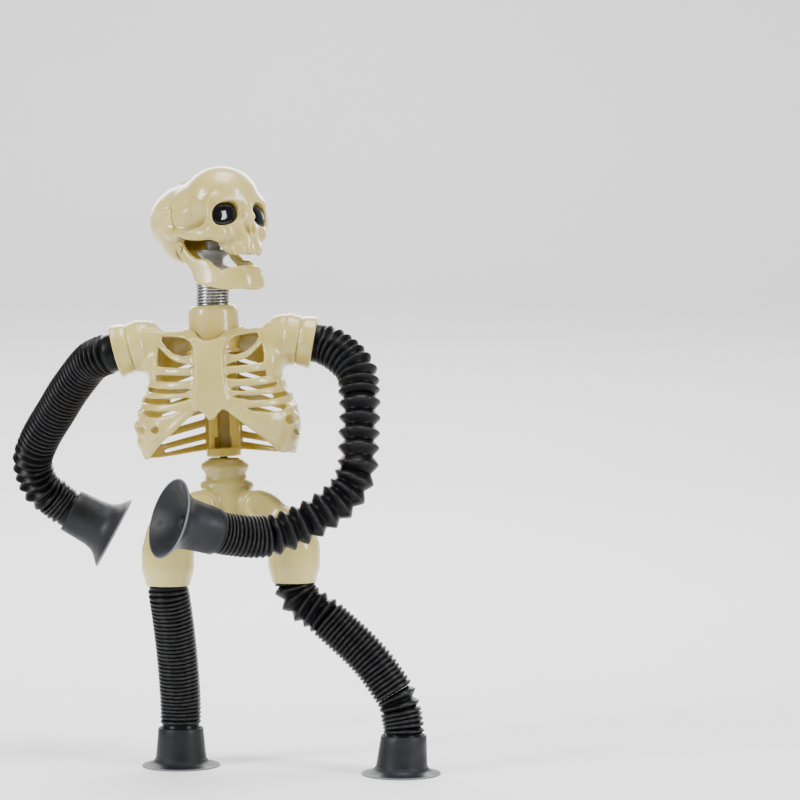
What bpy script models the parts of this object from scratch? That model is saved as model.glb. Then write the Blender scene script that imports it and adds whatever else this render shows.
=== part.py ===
"""A posable halloween skeleton figure: cream plastic bones, pop-tube limbs, suction-cup hands and feet.

Lengths are millimetres in the figure's frame: x to the viewer's right, y away from the viewer (the chest
faces -y), z up from the floor. "right" and "left" are the figure's own sides, so its right arm has x < 0.
A piece's mesh is stored round its body's pivot, and each body's pivot is an empty named after its joint.
"""

import math

import bmesh
import bpy
import numpy as np
from mathutils import Euler, Matrix, Vector

MM = 0.001
GAP = 0.35  # clearance kept between neighbouring pieces
SHIFT = Vector((3.9, -5.0, 0.0))  # puts the middle of the figure's footprint at the origin

# Pop tube
TUBE_PEAK = 9.75  # outer radius at a fold's crest
TUBE_BORE = 6.1
BAND_RADIUS = 9.1  # smooth end of a tube
PLUG_RADIUS = 8.95  # smooth end inside a rubber sleeve
VALLEY_SHUT = 8.8  # radius between two folds pushed together
VALLEY_OPEN = 7.2  # radius between two folds pulled apart
PITCH_SHUT = 1.8
PITCH_OPEN = 7.0
TUBE_SIDES = 10
INNER_STEP = 9.0  # spacing of the bore's rings
SPIGOT = 7.0  # length of tube inside its socket
ARM_HEAD = 10.4  # length of an arm's smooth end, from inside the cuff
LEG_HEAD = 7.6
CHORD = 3.5  # half the length over which a ring's direction is taken
STRAIGHT = 2.5  # a tube leaves its socket this far along the socket's axis

# Suction cups
SLEEVE_TOP = 10.7
SLEEVE_BASE = 11.7
SLEEVE_BORE = 9.5
SLEEVE_DEPTH = 15.0
RIM_RADIUS = 18.6
FOOT_HEIGHT = 18.3
HAND_HEIGHT = 24.5
CUP_SIDES = 18

# Torso
TORSO_ORIGIN = Vector((-3.4, 0.0, 149.0))
TORSO_LEAN = math.radians(-2.6)
SPINE_X = 1.0
SPINE_Y = 13.0
CUFF_FACE = Vector((46.6, 0.0, 50.4))
CUFF_TILT = math.radians(12.5)
CUFF_RADIUS = 12.5
CUFF_LENGTH = 7.5
CUFF_BORE = 9.5
NECK_RING_RADIUS = 8.2  # the cuff's neck inside the shoulder
SHOULDER_BORE = 8.6
WALL = 2.2
COLLAR_RADIUS = 11.8
COLLAR_TOP = 70.2
COLLAR_BOTTOM = 48.0
SPRING_SEAT = 65.5
COLLAR_BORE = 8.8

# Neck spring and head
SPRING_RADIUS = 7.5
SPRING_WIRE = 0.65
SPRING_PITCH = 1.6
SPRING_SIDES = 4
SPRING_STEPS = 10
SPRING_BASE = 216.2
SPRING_MIDDLE = 226.0
SPRING_TOP = 234.8
HEAD_ORIGIN = Vector((-6.5, 0.0, 240.0))
HEAD_YAW = math.radians(48.0)
HEAD_PITCH = math.radians(-12.0)
SEAM_Y = 3.0  # where the skull's halves meet
PEG_Y = 11.2
JAW_AXIS = (0.0, 2.5, 6.0)
JAW_HALF_WIDTH = 16.4

# Pelvis
WAIST = Vector((-2.35, 13.0, 147.1))
PELVIS_SEAM = -0.6  # y of the joint between its halves
HIP_RADIUS = 12.2
HIP_BORE = 9.5
HIP_HOLLOW = 8.0
RIGHT_HIP = Vector((-28.0, 0.0, 87.4))
LEFT_HIP = Vector((31.4, 0.0, 88.8))

# Limb routes: the tube's centreline, from the face of its socket to its rubber cup
RIGHT_ARM = [
    (-52.2, 0, 197.2), (-60.0, 3.2, 194.8), (-66.0, 9.5, 191.2), (-77.1, 23, 178.5), (-84.7, 33, 167.8),
    (-90.8, 40, 159.2), (-95.4, 46, 151.3), (-98.5, 52, 143.6), (-97.5, 56, 135.4), (-94.5, 59, 128.7),
    (-89.6, 62, 124.8), (-81.7, 64, 118.4), (-59.9, 66, 106.6),
]
LEFT_ARM = [
    (40.9, 0, 201.5), (49, -2.0, 199.4), (56.6, -6.5, 193.8), (61.3, -10.5, 187.5), (62.4, -15, 177.7),
    (62.7, -17, 171), (62.6, -19, 164.1), (62.3, -21, 157.3), (62.1, -23, 150.4), (61.4, -24, 143),
    (58.2, -25, 135.2), (54.6, -26, 130.5), (49.4, -27.5, 126.1), (38.4, -30, 119.5),
    (27.3, -33.5, 114.9), (20.2, -36, 113.3), (14.5, -38, 113.1), (6.1, -42, 114.2),
    (-2.3, -46.5, 116.2), (-22.9, -58, 123.1),
]
RIGHT_LEG = [
    (-27.7, 0, 86.7), (-26.2, 3, 72.5), (-24.3, 8, 51.9), (-23.2, 12, 31.4), (-23.1, 12.4, 18.3),
    (-22.9, 12.4, 0),
]
LEFT_LEG = [
    (31.4, 0, 89.0), (31.9, 0, 85.4), (34.2, -1, 81.1), (37.5, -1.7, 78.3), (41.6, -2.5, 75.9),
    (46.5, -3.5, 72.4), (54.1, -5, 65.7), (61.7, -6.5, 58.9), (68.9, -8, 51.3), (74, -9, 44.4),
    (78.3, -10, 38.2), (80.4, -10.5, 34.2), (82.4, -11, 25.4), (83.1, -11.6, 18.5), (81.8, -12, 0),
]
RIGHT_FOOT = Vector((-22.9, 12.4, 0.0))
LEFT_FOOT = Vector((81.8, -12.0, 0.0))


# ---------------------------------------------------------------- scene helpers


def clear_scene():
    for obj in list(bpy.data.objects):
        bpy.data.objects.remove(obj, do_unlink=True)


def plastic(name, colour, roughness, metallic=0.0):
    material = bpy.data.materials.new(name)
    material.use_nodes = True
    shader = material.node_tree.nodes["Principled BSDF"]
    shader.inputs["Base Color"].default_value = (*colour, 1.0)
    shader.inputs["Roughness"].default_value = roughness
    shader.inputs["Metallic"].default_value = metallic
    return material


def make_materials():
    return {
        "bone": plastic("bone_plastic", (0.80, 0.74, 0.52), 0.32),
        "tube": plastic("black_tube_plastic", (0.012, 0.012, 0.014), 0.36),
        "rubber": plastic("grey_rubber", (0.075, 0.078, 0.085), 0.55),
        "steel": plastic("spring_steel", (0.55, 0.55, 0.57), 0.28, 1.0),
        "spool": plastic("grey_plastic", (0.22, 0.23, 0.24), 0.35),
        "eye": plastic("gloss_black", (0.008, 0.008, 0.012), 0.08),
        "peg": plastic("pale_peg_plastic", (0.86, 0.68, 0.55), 0.4),
    }


class Figure:
    """The figure's bodies, each an empty on its joint, and the pieces made round them."""

    def __init__(self, materials):
        self.materials = materials
        self.pivots = {}

    def body(self, name, parent, pivot):
        empty = bpy.data.objects.new(name, None)
        empty.empty_display_size = 4 * MM
        bpy.context.scene.collection.objects.link(empty)
        pivot = Vector(pivot)
        if parent is None:
            empty.location = (pivot + SHIFT) * MM
        else:
            above, above_pivot = self.pivots[parent]
            empty.parent = above
            empty.location = (pivot - above_pivot) * MM
        self.pivots[name] = (empty, pivot)

    def piece(self, name, body, shape, material, smooth=35.0):
        """A node: shape is (points, faces) in the figure's frame."""
        obj = self.mesh_object(name, body, shape)
        obj.data.materials.append(self.materials[material])
        obj.data.shade_smooth()
        obj.data.set_sharp_from_angle(angle=math.radians(smooth))
        return obj

    def cutter(self, name, body, shape):
        obj = self.mesh_object(name, body, shape)
        obj.hide_render = True
        obj.display_type = "WIRE"
        return obj

    def mesh_object(self, name, body, shape):
        empty, pivot = self.pivots[body]
        points, faces = shape
        mesh = bpy.data.meshes.new(name)
        mesh.from_pydata(((np.asarray(points) - np.array(pivot)) * MM).tolist(), [], faces)
        face_out(mesh)
        obj = bpy.data.objects.new(name, mesh)
        obj.parent = empty
        bpy.context.scene.collection.objects.link(obj)
        return obj


def face_out(mesh):
    work = bmesh.new()
    work.from_mesh(mesh)
    bmesh.ops.recalc_face_normals(work, faces=work.faces)
    work.to_mesh(mesh)
    work.free()


def boolean(obj, other, operation="DIFFERENCE", solver="EXACT"):
    modifier = obj.modifiers.new(other.name, "BOOLEAN")
    modifier.operation = operation
    modifier.solver = solver
    modifier.object = other


def fused(obj, voxel, smoothing, ratio):
    """Melts overlapping blobs into one skin: remesh, smooth, then thin out the triangles."""
    remesh = obj.modifiers.new("fuse", "REMESH")
    remesh.mode = "VOXEL"
    remesh.voxel_size = voxel * MM
    smooth = obj.modifiers.new("soften", "SMOOTH")
    smooth.factor = 0.5
    smooth.iterations = smoothing
    thin = obj.modifiers.new("thin_out", "DECIMATE")
    thin.ratio = ratio


# ---------------------------------------------------------------- shapes: each returns (points, faces)


def joined(*shapes):
    points = []
    faces = []
    for more_points, more_faces in shapes:
        start = len(points)
        points.extend([tuple(p) for p in more_points])
        faces.extend([tuple(i + start for i in face) for face in more_faces])
    return points, faces


def moved(shape, matrix):
    points, faces = shape
    return [tuple(matrix @ Vector(p)) for p in points], faces


def lofted(rings, loop=False):
    """Skin through rings of equal size. loop joins the last ring to the first, else both ends are capped."""
    sides = len(rings[0])
    points = [tuple(p) for ring in rings for p in ring]
    faces = []
    pairs = [(i, i + 1) for i in range(len(rings) - 1)]
    if loop:
        pairs.append((len(rings) - 1, 0))
    for low, high in pairs:
        for k in range(sides):
            n = (k + 1) % sides
            faces.append((low * sides + k, low * sides + n, high * sides + n, high * sides + k))
    if not loop:
        faces.append(tuple(range(sides)))
        faces.append(tuple(range((len(rings) - 1) * sides, len(rings) * sides)))
    return points, faces


def turned(profile, sides, base, axis, lean=None):
    """A profile of (radius, height) turned about axis from base; a radius of 0 is a pole.

    lean shifts each height sideways by that much per unit, so a sleeve can lean over a level rim.
    """
    frame = Vector((0, 0, 1)).rotation_difference(Vector(axis)).to_matrix()
    points = []
    rows = []
    for radius, height in profile:
        shift = Vector(lean) * height if lean else Vector((0, 0, 0))
        centre = Vector(base) + frame @ Vector((0, 0, height)) + shift
        if radius == 0:
            rows.append([len(points)] * sides)
            points.append(tuple(centre))
            continue
        rows.append(list(range(len(points), len(points) + sides)))
        for k in range(sides):
            turn = 2 * math.pi * (k + 0.5) / sides
            out = Vector((radius * math.cos(turn), radius * math.sin(turn), 0))
            points.append(tuple(centre + frame @ out))
    faces = []
    open_profile = profile[0][0] == 0 and profile[-1][0] == 0
    pairs = list(zip(rows, rows[1:]))
    if not open_profile:
        pairs.append((rows[-1], rows[0]))
    for low, high in pairs:
        for k in range(sides):
            n = (k + 1) % sides
            corners = [low[k], low[n], high[n], high[k]]
            face = tuple(dict.fromkeys(corners))
            if len(face) > 2:
                faces.append(face)
    return points, faces


def ellipsoid(centre, radii, turn=(0, 0, 0), detail=3):
    """detail is the icosphere's subdivision; turn is in degrees about X, Y and Z."""
    work = bmesh.new()
    bmesh.ops.create_icosphere(work, subdivisions=detail, radius=1.0)
    spin = Euler([math.radians(a) for a in turn]).to_matrix()
    scale = Matrix.Diagonal(Vector(radii))
    points = [tuple(Vector(centre) + spin @ (scale @ v.co)) for v in work.verts]
    faces = [tuple(v.index for v in face.verts) for face in work.faces]
    work.free()
    return points, faces


def block(low, high):
    x, y, z = zip(low, high)
    points = [(x[i], y[j], z[k]) for k in (0, 1) for j in (0, 1) for i in (0, 1)]
    faces = [(0, 2, 3, 1), (4, 5, 7, 6), (0, 1, 5, 4), (2, 6, 7, 3), (0, 4, 6, 2), (1, 3, 7, 5)]
    return points, faces


def prism(outline, near, far):
    """A closed outline in x and z, run along y from near to far."""
    rings = [[(x, y, z) for x, z in outline] for y in (near, far)]
    return lofted(rings)


def bar(path, radii, sides=8):
    """Round bar through a few points with a radius at each."""
    return lofted([round_ring(*at, r, sides) for at, r in zip(frames(path), radii)])


# ---------------------------------------------------------------- curves


def smooth_curve(route, per_span=24):
    """Dense points on a Catmull-Rom curve through the route."""
    p = np.array(route, float)
    p = np.vstack([2 * p[0] - p[1], p, 2 * p[-1] - p[-2]])
    t = np.linspace(0, 1, per_span, endpoint=False)[:, None]
    spans = []
    for a, b, c, d in zip(p, p[1:], p[2:], p[3:]):
        square = 2 * a - 5 * b + 4 * c - d
        cube = 3 * b - a - 3 * c + d
        spans.append(0.5 * (2 * b + (c - a) * t + square * t**2 + cube * t**3))
    return np.vstack(spans + [p[-2][None]])


def frames(path):
    """(point, normal, side, up) for each point of a path, turning as little as possible along it."""
    points = [Vector(p) for p in path]
    result = []
    side = None
    for i, point in enumerate(points):
        before = points[max(i - 1, 0)]
        after = points[min(i + 1, len(points) - 1)]
        normal = (after - before).normalized()
        if side is None:
            side = normal.cross(Vector((0, 1, 0.1))).normalized()
        side = (side - normal * side.dot(normal)).normalized()
        result.append((point, normal, side, normal.cross(side)))
    return result


def round_ring(point, normal, side, up, radius, sides):
    turns = [2 * math.pi * (k + 0.5) / sides for k in range(sides)]
    return [point + side * (radius * math.cos(a)) + up * (radius * math.sin(a)) for a in turns]


class Limb:
    """A pop tube's centreline, read by the length along it. Lengths below 0 lie inside its socket."""

    def __init__(self, route, socket_axis):
        lead = np.array(socket_axis, float)
        mouth = np.array(route[0], float)
        curve = smooth_curve([mouth, mouth + lead * STRAIGHT, *route[1:]])
        steps = np.arange(10.0, 0.0, -0.5)[:, None]
        curve = np.vstack([curve[0] - lead * steps, curve])
        self.points = curve
        spans = np.linalg.norm(np.diff(curve, axis=0), axis=1)
        self.lengths = np.concatenate([[0.0], np.cumsum(spans)]) - 10.0
        self.start_side = Vector(lead).cross(Vector((0, 1, 0.1))).normalized()

    def point(self, length):
        return Vector([np.interp(length, self.lengths, self.points[:, k]) for k in range(3)])

    def at(self, length):
        """Point and ring normal; the normal follows a short chord, so folds turn gently at a kink."""
        chord = self.point(length + CHORD) - self.point(length - CHORD)
        return self.point(length), chord.normalized()

    def ring(self, length, radius):
        point, normal = self.at(length)
        side = self.start_side
        for passed in np.arange(0.0, max(length, 0.0) + 1e-6, 4.0):
            along = self.at(passed)[1]
            side = (side - along * side.dot(along)).normalized()
        side = (side - normal * side.dot(normal)).normalized()
        return round_ring(point, normal, side, normal.cross(side), radius, TUBE_SIDES)

    def tube(self, start, runs, plug=0.0, head=0.0):
        """Hollow tube from start: a smooth head, runs of (end length, folds), then a smooth plug."""
        outer = []
        if head:
            outer += [(start - head, BAND_RADIUS), (min(0.0, start), BAND_RADIUS), (start, BAND_RADIUS)]
        for end, folds in runs:
            pitch = (end - start) / folds
            share = min(max((pitch - PITCH_SHUT) / (PITCH_OPEN - PITCH_SHUT), 0.0), 1.0)
            valley = VALLEY_SHUT + (VALLEY_OPEN - VALLEY_SHUT) * share
            for k in range(folds):
                outer.append((start + k * pitch, valley))
                outer.append((start + (k + 0.5) * pitch, TUBE_PEAK))
            outer.append((end, valley))
            start = end
        if plug:
            outer += [(start + 0.4, PLUG_RADIUS), (start + plug, PLUG_RADIUS)]
        places = [outer[0]]
        for place in outer[1:]:
            if place[0] - places[-1][0] > 0.05:
                places.append(place)
        first = places[0][0] + GAP / 2
        last = places[-1][0] - GAP / 2
        places[0] = (first, places[0][1])
        places[-1] = (last, places[-1][1])
        steps = max(1, round((last - first) / INNER_STEP))
        rings = [self.ring(*place) for place in places]
        rings += [self.ring(last + (first - last) * k / steps, TUBE_BORE) for k in range(steps + 1)]
        return lofted(rings, loop=True)


# ---------------------------------------------------------------- frames of torso and head


def torso_matrix():
    return Matrix.Translation(TORSO_ORIGIN) @ Matrix.Rotation(TORSO_LEAN, 4, "Y")


def head_matrix():
    spin = Matrix.Rotation(HEAD_YAW, 4, "Z") @ Matrix.Rotation(HEAD_PITCH, 4, "X")
    return Matrix.Translation(HEAD_ORIGIN) @ spin


def cuff_axis(sign):
    """Outward axis of a shoulder cuff, in the torso's frame."""
    return Vector((sign * math.cos(CUFF_TILT), 0.0, -math.sin(CUFF_TILT)))


# ---------------------------------------------------------------- torso


CAGE_LEVELS = [  # height, half-width, half-depth
    (-1.0, 35.6, 19.5), (6.0, 37.6, 21.6), (14.5, 38.6, 23.0), (25.0, 35.6, 23.0), (34.0, 31.5, 22.4),
    (42.0, 29.5, 21.0), (49.0, 28.0, 18.6), (55.0, 25.5, 14.6), (59.5, 22.0, 9.5), (61.5, 18.0, 5.0),
]
CAGE_POWER = 2.4
CAGE_SIDES = 26


def cage_body(inset=0.0, drop=0.0):
    """The barrel of the chest; inset shrinks it and drop carries its lower end further down."""
    rings = []
    for height, half_width, half_depth in CAGE_LEVELS:
        ring = []
        for k in range(CAGE_SIDES):
            turn = 2 * math.pi * (k + 0.5) / CAGE_SIDES
            c, s = math.cos(turn), math.sin(turn)
            x = math.copysign(abs(c) ** (2 / CAGE_POWER), c) * (half_width - inset)
            y = math.copysign(abs(s) ** (2 / CAGE_POWER), s) * max(half_depth - inset, 1.0)
            ring.append((x, y, height - (inset if height > 40 else 0.0)))
        rings.append(ring)
    if drop:
        rings.insert(0, [(x, y, z - drop) for x, y, z in rings[0]])
    return lofted(rings)


def slot(inner, outer, half_height):
    """Outline of a slot with pointed ends, between two (x, z) ends."""
    (x0, z0), (x1, z1) = inner, outer
    angle = math.atan2(z1 - z0, x1 - x0)
    outline = []
    for (x, z), start in ((outer, -90), (inner, 90)):
        for step in range(3):
            a = angle + math.radians(start + 90 * step)
            outline.append((x + half_height * math.cos(a), z + half_height * math.sin(a)))
    return outline


def front_slots(sign):
    """Gaps between the front ribs of one side."""
    ends = [
        ((10.6, 42.9), (23.0, 45.6), 1.7),
        ((9.4, 37.0), (24.0, 37.8), 1.5),
        ((10.6, 31.2), (26.4, 30.6), 1.25),
        ((11.4, 26.4), (29.4, 25.4), 1.3),
        ((22.0, 19.9), (33.5, 18.6), 1.2),
    ]
    cuts = [prism([(sign * x, z) for x, z in slot(a, b, h)], -40, -6) for a, b, h in ends]
    turns = np.linspace(0, 2 * math.pi, 13)[:-1]
    oval = [(sign * (16.4 + 7.0 * math.cos(a)), 51.0 + 2.9 * math.sin(a)) for a in turns]
    return cuts + [prism(oval, -40, -4)]


def back_slots(sign):
    """Gaps between the back ribs, which run down from the spine."""
    cuts = []
    for level in (5.4, 11.0, 17.5, 24.5, 31.5, 38.5):
        reach = 29.0 if level < 28 else 23.5
        outline = slot((10.5, level), (reach, level - 4.4), 1.2)
        cuts.append(prism([(sign * x, z) for x, z in outline], 6, 40))
    return cuts


def costal_cut():
    """The open V below the breastbone."""
    flank = [(24, 6.8), (17.7, 12.6), (10, 18.4), (4.5, 20.5)]
    right = [(-60, -30), (60, -30), (60, -0.5), (30.5, -0.5), *flank]
    left = [(-x, z) for x, z in reversed(flank)]
    return prism([*right, (0, 17.8), *left, (-30.5, -0.5), (-60, -0.5)], -40, -1)


def shoulder(sign):
    """Housing that carries an arm: a short horn from the cage to the cuff."""
    axis = cuff_axis(sign)
    outer = CUFF_FACE.copy()
    outer.x *= sign
    outer -= axis * (CUFF_LENGTH + GAP)
    inner = Vector((sign * 17.0, 0, 50.6))
    middle = inner.lerp(outer, 0.5)
    up = Vector((0, 1, 0))
    rings = [round_ring(inner, Vector((sign, 0, 0)), Vector((0, 0, sign)), up, 10.2, 12)]
    rings.append(round_ring(middle, axis, axis.cross(up), up, 11.3, 12))
    rings.append(round_ring(outer, axis, axis.cross(up), up, 12.0, 12))
    return lofted(rings)


def shoulder_bore(sign):
    axis = cuff_axis(sign)
    face = Vector((sign * CUFF_FACE.x, 0, CUFF_FACE.z))
    up = Vector((0, 1, 0))
    ends = (face - axis * 34.0, face)
    return lofted([round_ring(p, axis, axis.cross(up), up, SHOULDER_BORE, 12) for p in ends])


def cuff(sign):
    """Turned ring at the shoulder: the tube plugs into its outer end, its neck turns in the shoulder."""
    profile = [
        (NECK_RING_RADIUS, -14.0), (NECK_RING_RADIUS, -7.5), (11.6, -7.5), (CUFF_RADIUS - 0.9, -5.2),
        (CUFF_RADIUS - 0.2, -2.0), (CUFF_RADIUS, -0.5), (CUFF_RADIUS - 0.5, 0.0), (CUFF_BORE, 0.0),
        (CUFF_BORE, -6.8), (6.4, -6.8), (6.4, -14.0),
    ]
    face = Vector((sign * CUFF_FACE.x, 0, CUFF_FACE.z))
    return turned(profile, CUP_SIDES, face, cuff_axis(sign))


def spine():
    """Channel-shaped backbone that ends in a ring over the waist."""
    outline = [
        (-7.5, 23.5), (-7.5, 13.5), (-5.6, 11.6), (-2.65, 11.6), (-2.65, 17.5), (2.65, 17.5), (2.65, 11.6),
        (5.6, 11.6), (7.5, 13.5), (7.5, 23.5),
    ]
    depth = {-1.0: 20.6, 14.0: 22.2, 34.0: 21.8, 44.0: 18.9}
    rings = []
    for height, back in depth.items():
        rings.append([(x + SPINE_X, min(y, back), height) for x, y in outline])
    rim = [(7.9, 2.5), (8.8, 1.6), (8.8, -0.6), (7.9, -1.4), (2.3, -1.4), (2.3, 2.5)]
    return lofted(rings), turned(rim, 20, (SPINE_X, SPINE_Y, 0), (0, 0, 1))


def build_torso(figure):
    place = torso_matrix()
    column, ring = spine()
    hole = COLLAR_RADIUS + GAP
    dip = [(-60, -30), (60, -30), (60, -6), (36.5, -0.6), (0, 4.0), (-36.5, -0.6), (-60, -6)]
    up = (0, 0, 1)
    spine_at = (SPINE_X, SPINE_Y, 0)
    shapes = {
        "shoulder_horns": joined(shoulder(-1), shoulder(1)),
        "shoulder_bores": joined(shoulder_bore(-1), shoulder_bore(1)),
        "chest_room": cage_body(WALL, drop=8.0),
        "neck_hole": turned([(0, 40), (hole, 40), (hole, 80), (0, 80)], 28, (0, 0, 0), up),
        "front_gaps": joined(*front_slots(1), *front_slots(-1)),
        "back_gaps": joined(*back_slots(1), *back_slots(-1)),
        "costal_cut": costal_cut(),
        "behind_seam": block((-80, -GAP / 2, -30), (80, 60, 90)),
        "before_seam": block((-80, -60, -30), (80, GAP / 2, 90)),
        "spine_column": column,
        "spine_ring": ring,
        "back_edge": prism(dip, 1, 60),
        "waist_pin_room": turned([(0, 2.5), (3.9, 2.5), (3.9, 7.5), (0, 7.5)], 12, spine_at, up),
    }
    cuts = {name: figure.cutter(name, "waist_turn", moved(shape, place)) for name, shape in shapes.items()}

    front = figure.piece("ribcage_front", "waist_turn", moved(cage_body(), place), "bone")
    boolean(front, cuts["shoulder_horns"], "UNION")
    for name in ("chest_room", "shoulder_bores", "neck_hole", "front_gaps", "costal_cut", "behind_seam"):
        boolean(front, cuts[name])

    back = figure.piece("ribcage_back", "waist_turn", moved(cage_body(), place), "bone")
    boolean(back, cuts["shoulder_horns"], "UNION")
    for name in ("chest_room", "shoulder_bores", "neck_hole", "back_gaps", "back_edge", "before_seam"):
        boolean(back, cuts[name])
    boolean(back, cuts["spine_column"], "UNION")
    boolean(back, cuts["spine_ring"], "UNION")
    boolean(back, cuts["waist_pin_room"])

    for side, sign in (("right", -1), ("left", 1)):
        figure.piece(f"shoulder_cuff_{side}", f"{side}_shoulder_swivel", moved(cuff(sign), place), "bone")

    collar_profile = [
        (13.4, COLLAR_BOTTOM), (13.4, COLLAR_BOTTOM + 1.2), (COLLAR_RADIUS, COLLAR_BOTTOM + 1.2),
        (COLLAR_RADIUS, 66.4), (11.3, 68.4), (10.2, 69.7), (9.2, COLLAR_TOP), (COLLAR_BORE, COLLAR_TOP - 0.3),
        (COLLAR_BORE, SPRING_SEAT), (3.0, SPRING_SEAT), (3.0, COLLAR_BOTTOM),
    ]
    collar = turned(collar_profile, CUP_SIDES, (0, 0, 0), up)
    figure.piece("neck_collar", "neck_turn", moved(collar, place), "bone")


# ---------------------------------------------------------------- head


def skull_blobs():
    shapes = [
        ellipsoid((0, -11, 26.0), (18.4, 17.6, 16.2)),
        ellipsoid((0, 9.2, 21.8), (20.8, 19.6, 17.0)),
        ellipsoid((0, -1, 23.5), (19.4, 17.0, 18.0)),
        ellipsoid((0, 12, 10.0), (13.0, 12.0, 9.0)),
        ellipsoid((0, -18, 9.0), (12.0, 9.0, 9.0)),
        ellipsoid((0, -21.5, 2.5), (9.5, 7.5, 5.5)),
        ellipsoid((0, -25.0, 13.5), (2.6, 3.4, 6.0), detail=2),
    ]
    for sign in (-1, 1):
        shapes.append(ellipsoid((sign * 13.5, -18, 9.5), (5.5, 6.0, 4.2), detail=2))
        shapes.append(ellipsoid((sign * 10.0, -20.5, 23.0), (8.0, 4.5, 3.6), detail=2))
        arch = [(15.5, -15, 9.0), (18.6, -7, 9.5), (19.0, 1, 10.5), (17.5, 6, 12.0)]
        path = smooth_curve([(sign * x, y, z) for x, y, z in arch], 3)
        shapes.append(bar(path, [2.2] * len(path)))
    return joined(*shapes)


def skull_room():
    """Hollow of the skull, open downwards round the neck."""
    return ellipsoid((0, 3.0, 20.5), (17.0, 20.5, 14.0), detail=2)


def neck_opening():
    outline = [(-12.5, -14), (12.5, -14), (12.5, 12), (-12.5, 12)]
    return lofted([[(x, y, z) for x, y in outline] for z in (-20.0, 16.0)])


def jaw_room():
    """Clearance in the skull for the jaw's two arms."""
    return joined(*[ellipsoid((sign * 16.3, 2.2, 4.0), (2.9, 6.0, 7.4), detail=2) for sign in (-1, 1)])


def eye_socket(sign, shrink=0.0):
    turn = (0, 0, sign * 14)
    return ellipsoid((sign * 10.9, -22.6, 17.0), (6.7 - shrink, 4.6 - shrink, 5.4 - shrink), turn, 2)


def jaw():
    half = [  # point, thickness, height of the section
        ((15.9, 2.6, 8.0), 2.6, 4.2), ((15.9, 2.0, 3.5), 2.8, 6.6), ((15.3, 0.2, -2.5), 2.8, 9.0),
        ((14.6, -3.4, -8.0), 3.0, 9.6), ((13.2, -9.5, -11.0), 3.2, 9.2), ((11.0, -16.0, -12.4), 3.4, 9.6),
        ((7.4, -21.8, -13.0), 3.8, 10.6), ((3.0, -24.6, -13.2), 4.2, 11.0),
    ]
    whole = [((-p[0], p[1], p[2]), t, h) for p, t, h in half] + list(reversed(half))
    rings = []
    for (point, _, side, up), (p, thick, high) in zip(frames([p for p, _, _ in whole]), whole):
        normal_out = Vector((p[0], p[1] + 6.0, 0)).normalized()
        along = Vector(up).cross(side).normalized()
        out = (normal_out - along * normal_out.dot(along)).normalized()
        tall = along.cross(out)
        ring = []
        for k in range(10):
            a = 2 * math.pi * (k + 0.5) / 10
            c, s = math.cos(a), math.sin(a)
            across = out * (thick / 2 * math.copysign(abs(c) ** 0.6, c))
            ring.append(point + across + tall * (high / 2 * math.copysign(abs(s) ** 0.6, s)))
        rings.append(ring)
    return lofted(rings)


def build_head(figure):
    place = head_matrix()
    cutters = {
        "skull_room": skull_room(),
        "neck_opening": neck_opening(),
        "jaw_room": jaw_room(),
        "eye_sockets": joined(eye_socket(-1), eye_socket(1)),
        "front_of_head": block((-40, -60, -40), (40, SEAM_Y + GAP / 2, 70)),
        "back_of_head": block((-40, SEAM_Y - GAP / 2, -40), (40, 60, 70)),
        "crown_hole": turned([(0, 28), (1.3, 28), (1.3, 50), (0, 50)], 10, (0, PEG_Y, 0), (0, 0, 1)),
    }
    cuts = {name: figure.cutter(name, "neck_sway", moved(shape, place)) for name, shape in cutters.items()}
    for name, wanted in (
        ("skull_front", ("skull_room", "neck_opening", "jaw_room", "eye_sockets", "back_of_head")),
        ("skull_back", ("skull_room", "neck_opening", "jaw_room", "crown_hole", "front_of_head")),
    ):
        half = figure.piece(name, "neck_sway", moved(skull_blobs(), place), "bone", smooth=60)
        fused(half, voxel=1.1, smoothing=3, ratio=0.045)
        for cut in wanted:
            boolean(half, cuts[cut], solver="MANIFOLD")  # EXACT stumbles on a remeshed skin

    peg_profile = [(0, 35.0), (0.9, 35.0), (0.9, 39.6), (1.7, 40.0), (1.4, 41.2), (0, 41.8)]
    peg = turned(peg_profile, 10, (0, PEG_Y, 0), (0, 0, 1))
    figure.piece("crown_peg", "neck_sway", moved(peg, place), "peg")
    for side, sign in (("right", -1), ("left", 1)):
        figure.piece(f"eye_{side}", "neck_sway", moved(eye_socket(sign, GAP), place), "eye")
        start = Vector((sign * (JAW_HALF_WIDTH + 2.3), JAW_AXIS[1], JAW_AXIS[2]))
        pin_profile = [(0, 0), (1.5, 0), (1.5, 0.8), (0.8, 0.9), (0.8, 4.6), (0, 4.6)]
        pin = turned(pin_profile, 10, start, (-sign, 0, 0))
        figure.piece(f"jaw_pin_{side}", "neck_sway", moved(pin, place), "bone")
    holes = []
    for sign in (-1, 1):
        at = (sign * 16, JAW_AXIS[1], JAW_AXIS[2])
        holes.append(turned([(0, -6), (1.15, -6), (1.15, 6), (0, 6)], 10, at, (1, 0, 0)))
    hole_cut = figure.cutter("jaw_pin_holes", "jaw_hinge", moved(joined(*holes), place))
    jaw_piece = figure.piece("jaw", "jaw_hinge", moved(jaw(), place), "bone")
    boolean(jaw_piece, hole_cut)

    spool_profile = [
        (0, 235.2), (8.4, 235.2), (8.4, 237.0), (6.2, 237.8), (4.8, 239.2), (4.8, 240.8), (6.6, 242.4),
        (7.6, 243.4), (7.6, 245.0), (3.6, 245.2), (3.6, 249.5), (0, 249.5),
    ]
    spool = turned(spool_profile, 20, (HEAD_ORIGIN.x, HEAD_ORIGIN.y, 0), (0, 0, 1))
    figure.piece("neck_spool", "neck_sway", spool, "spool")


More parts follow.
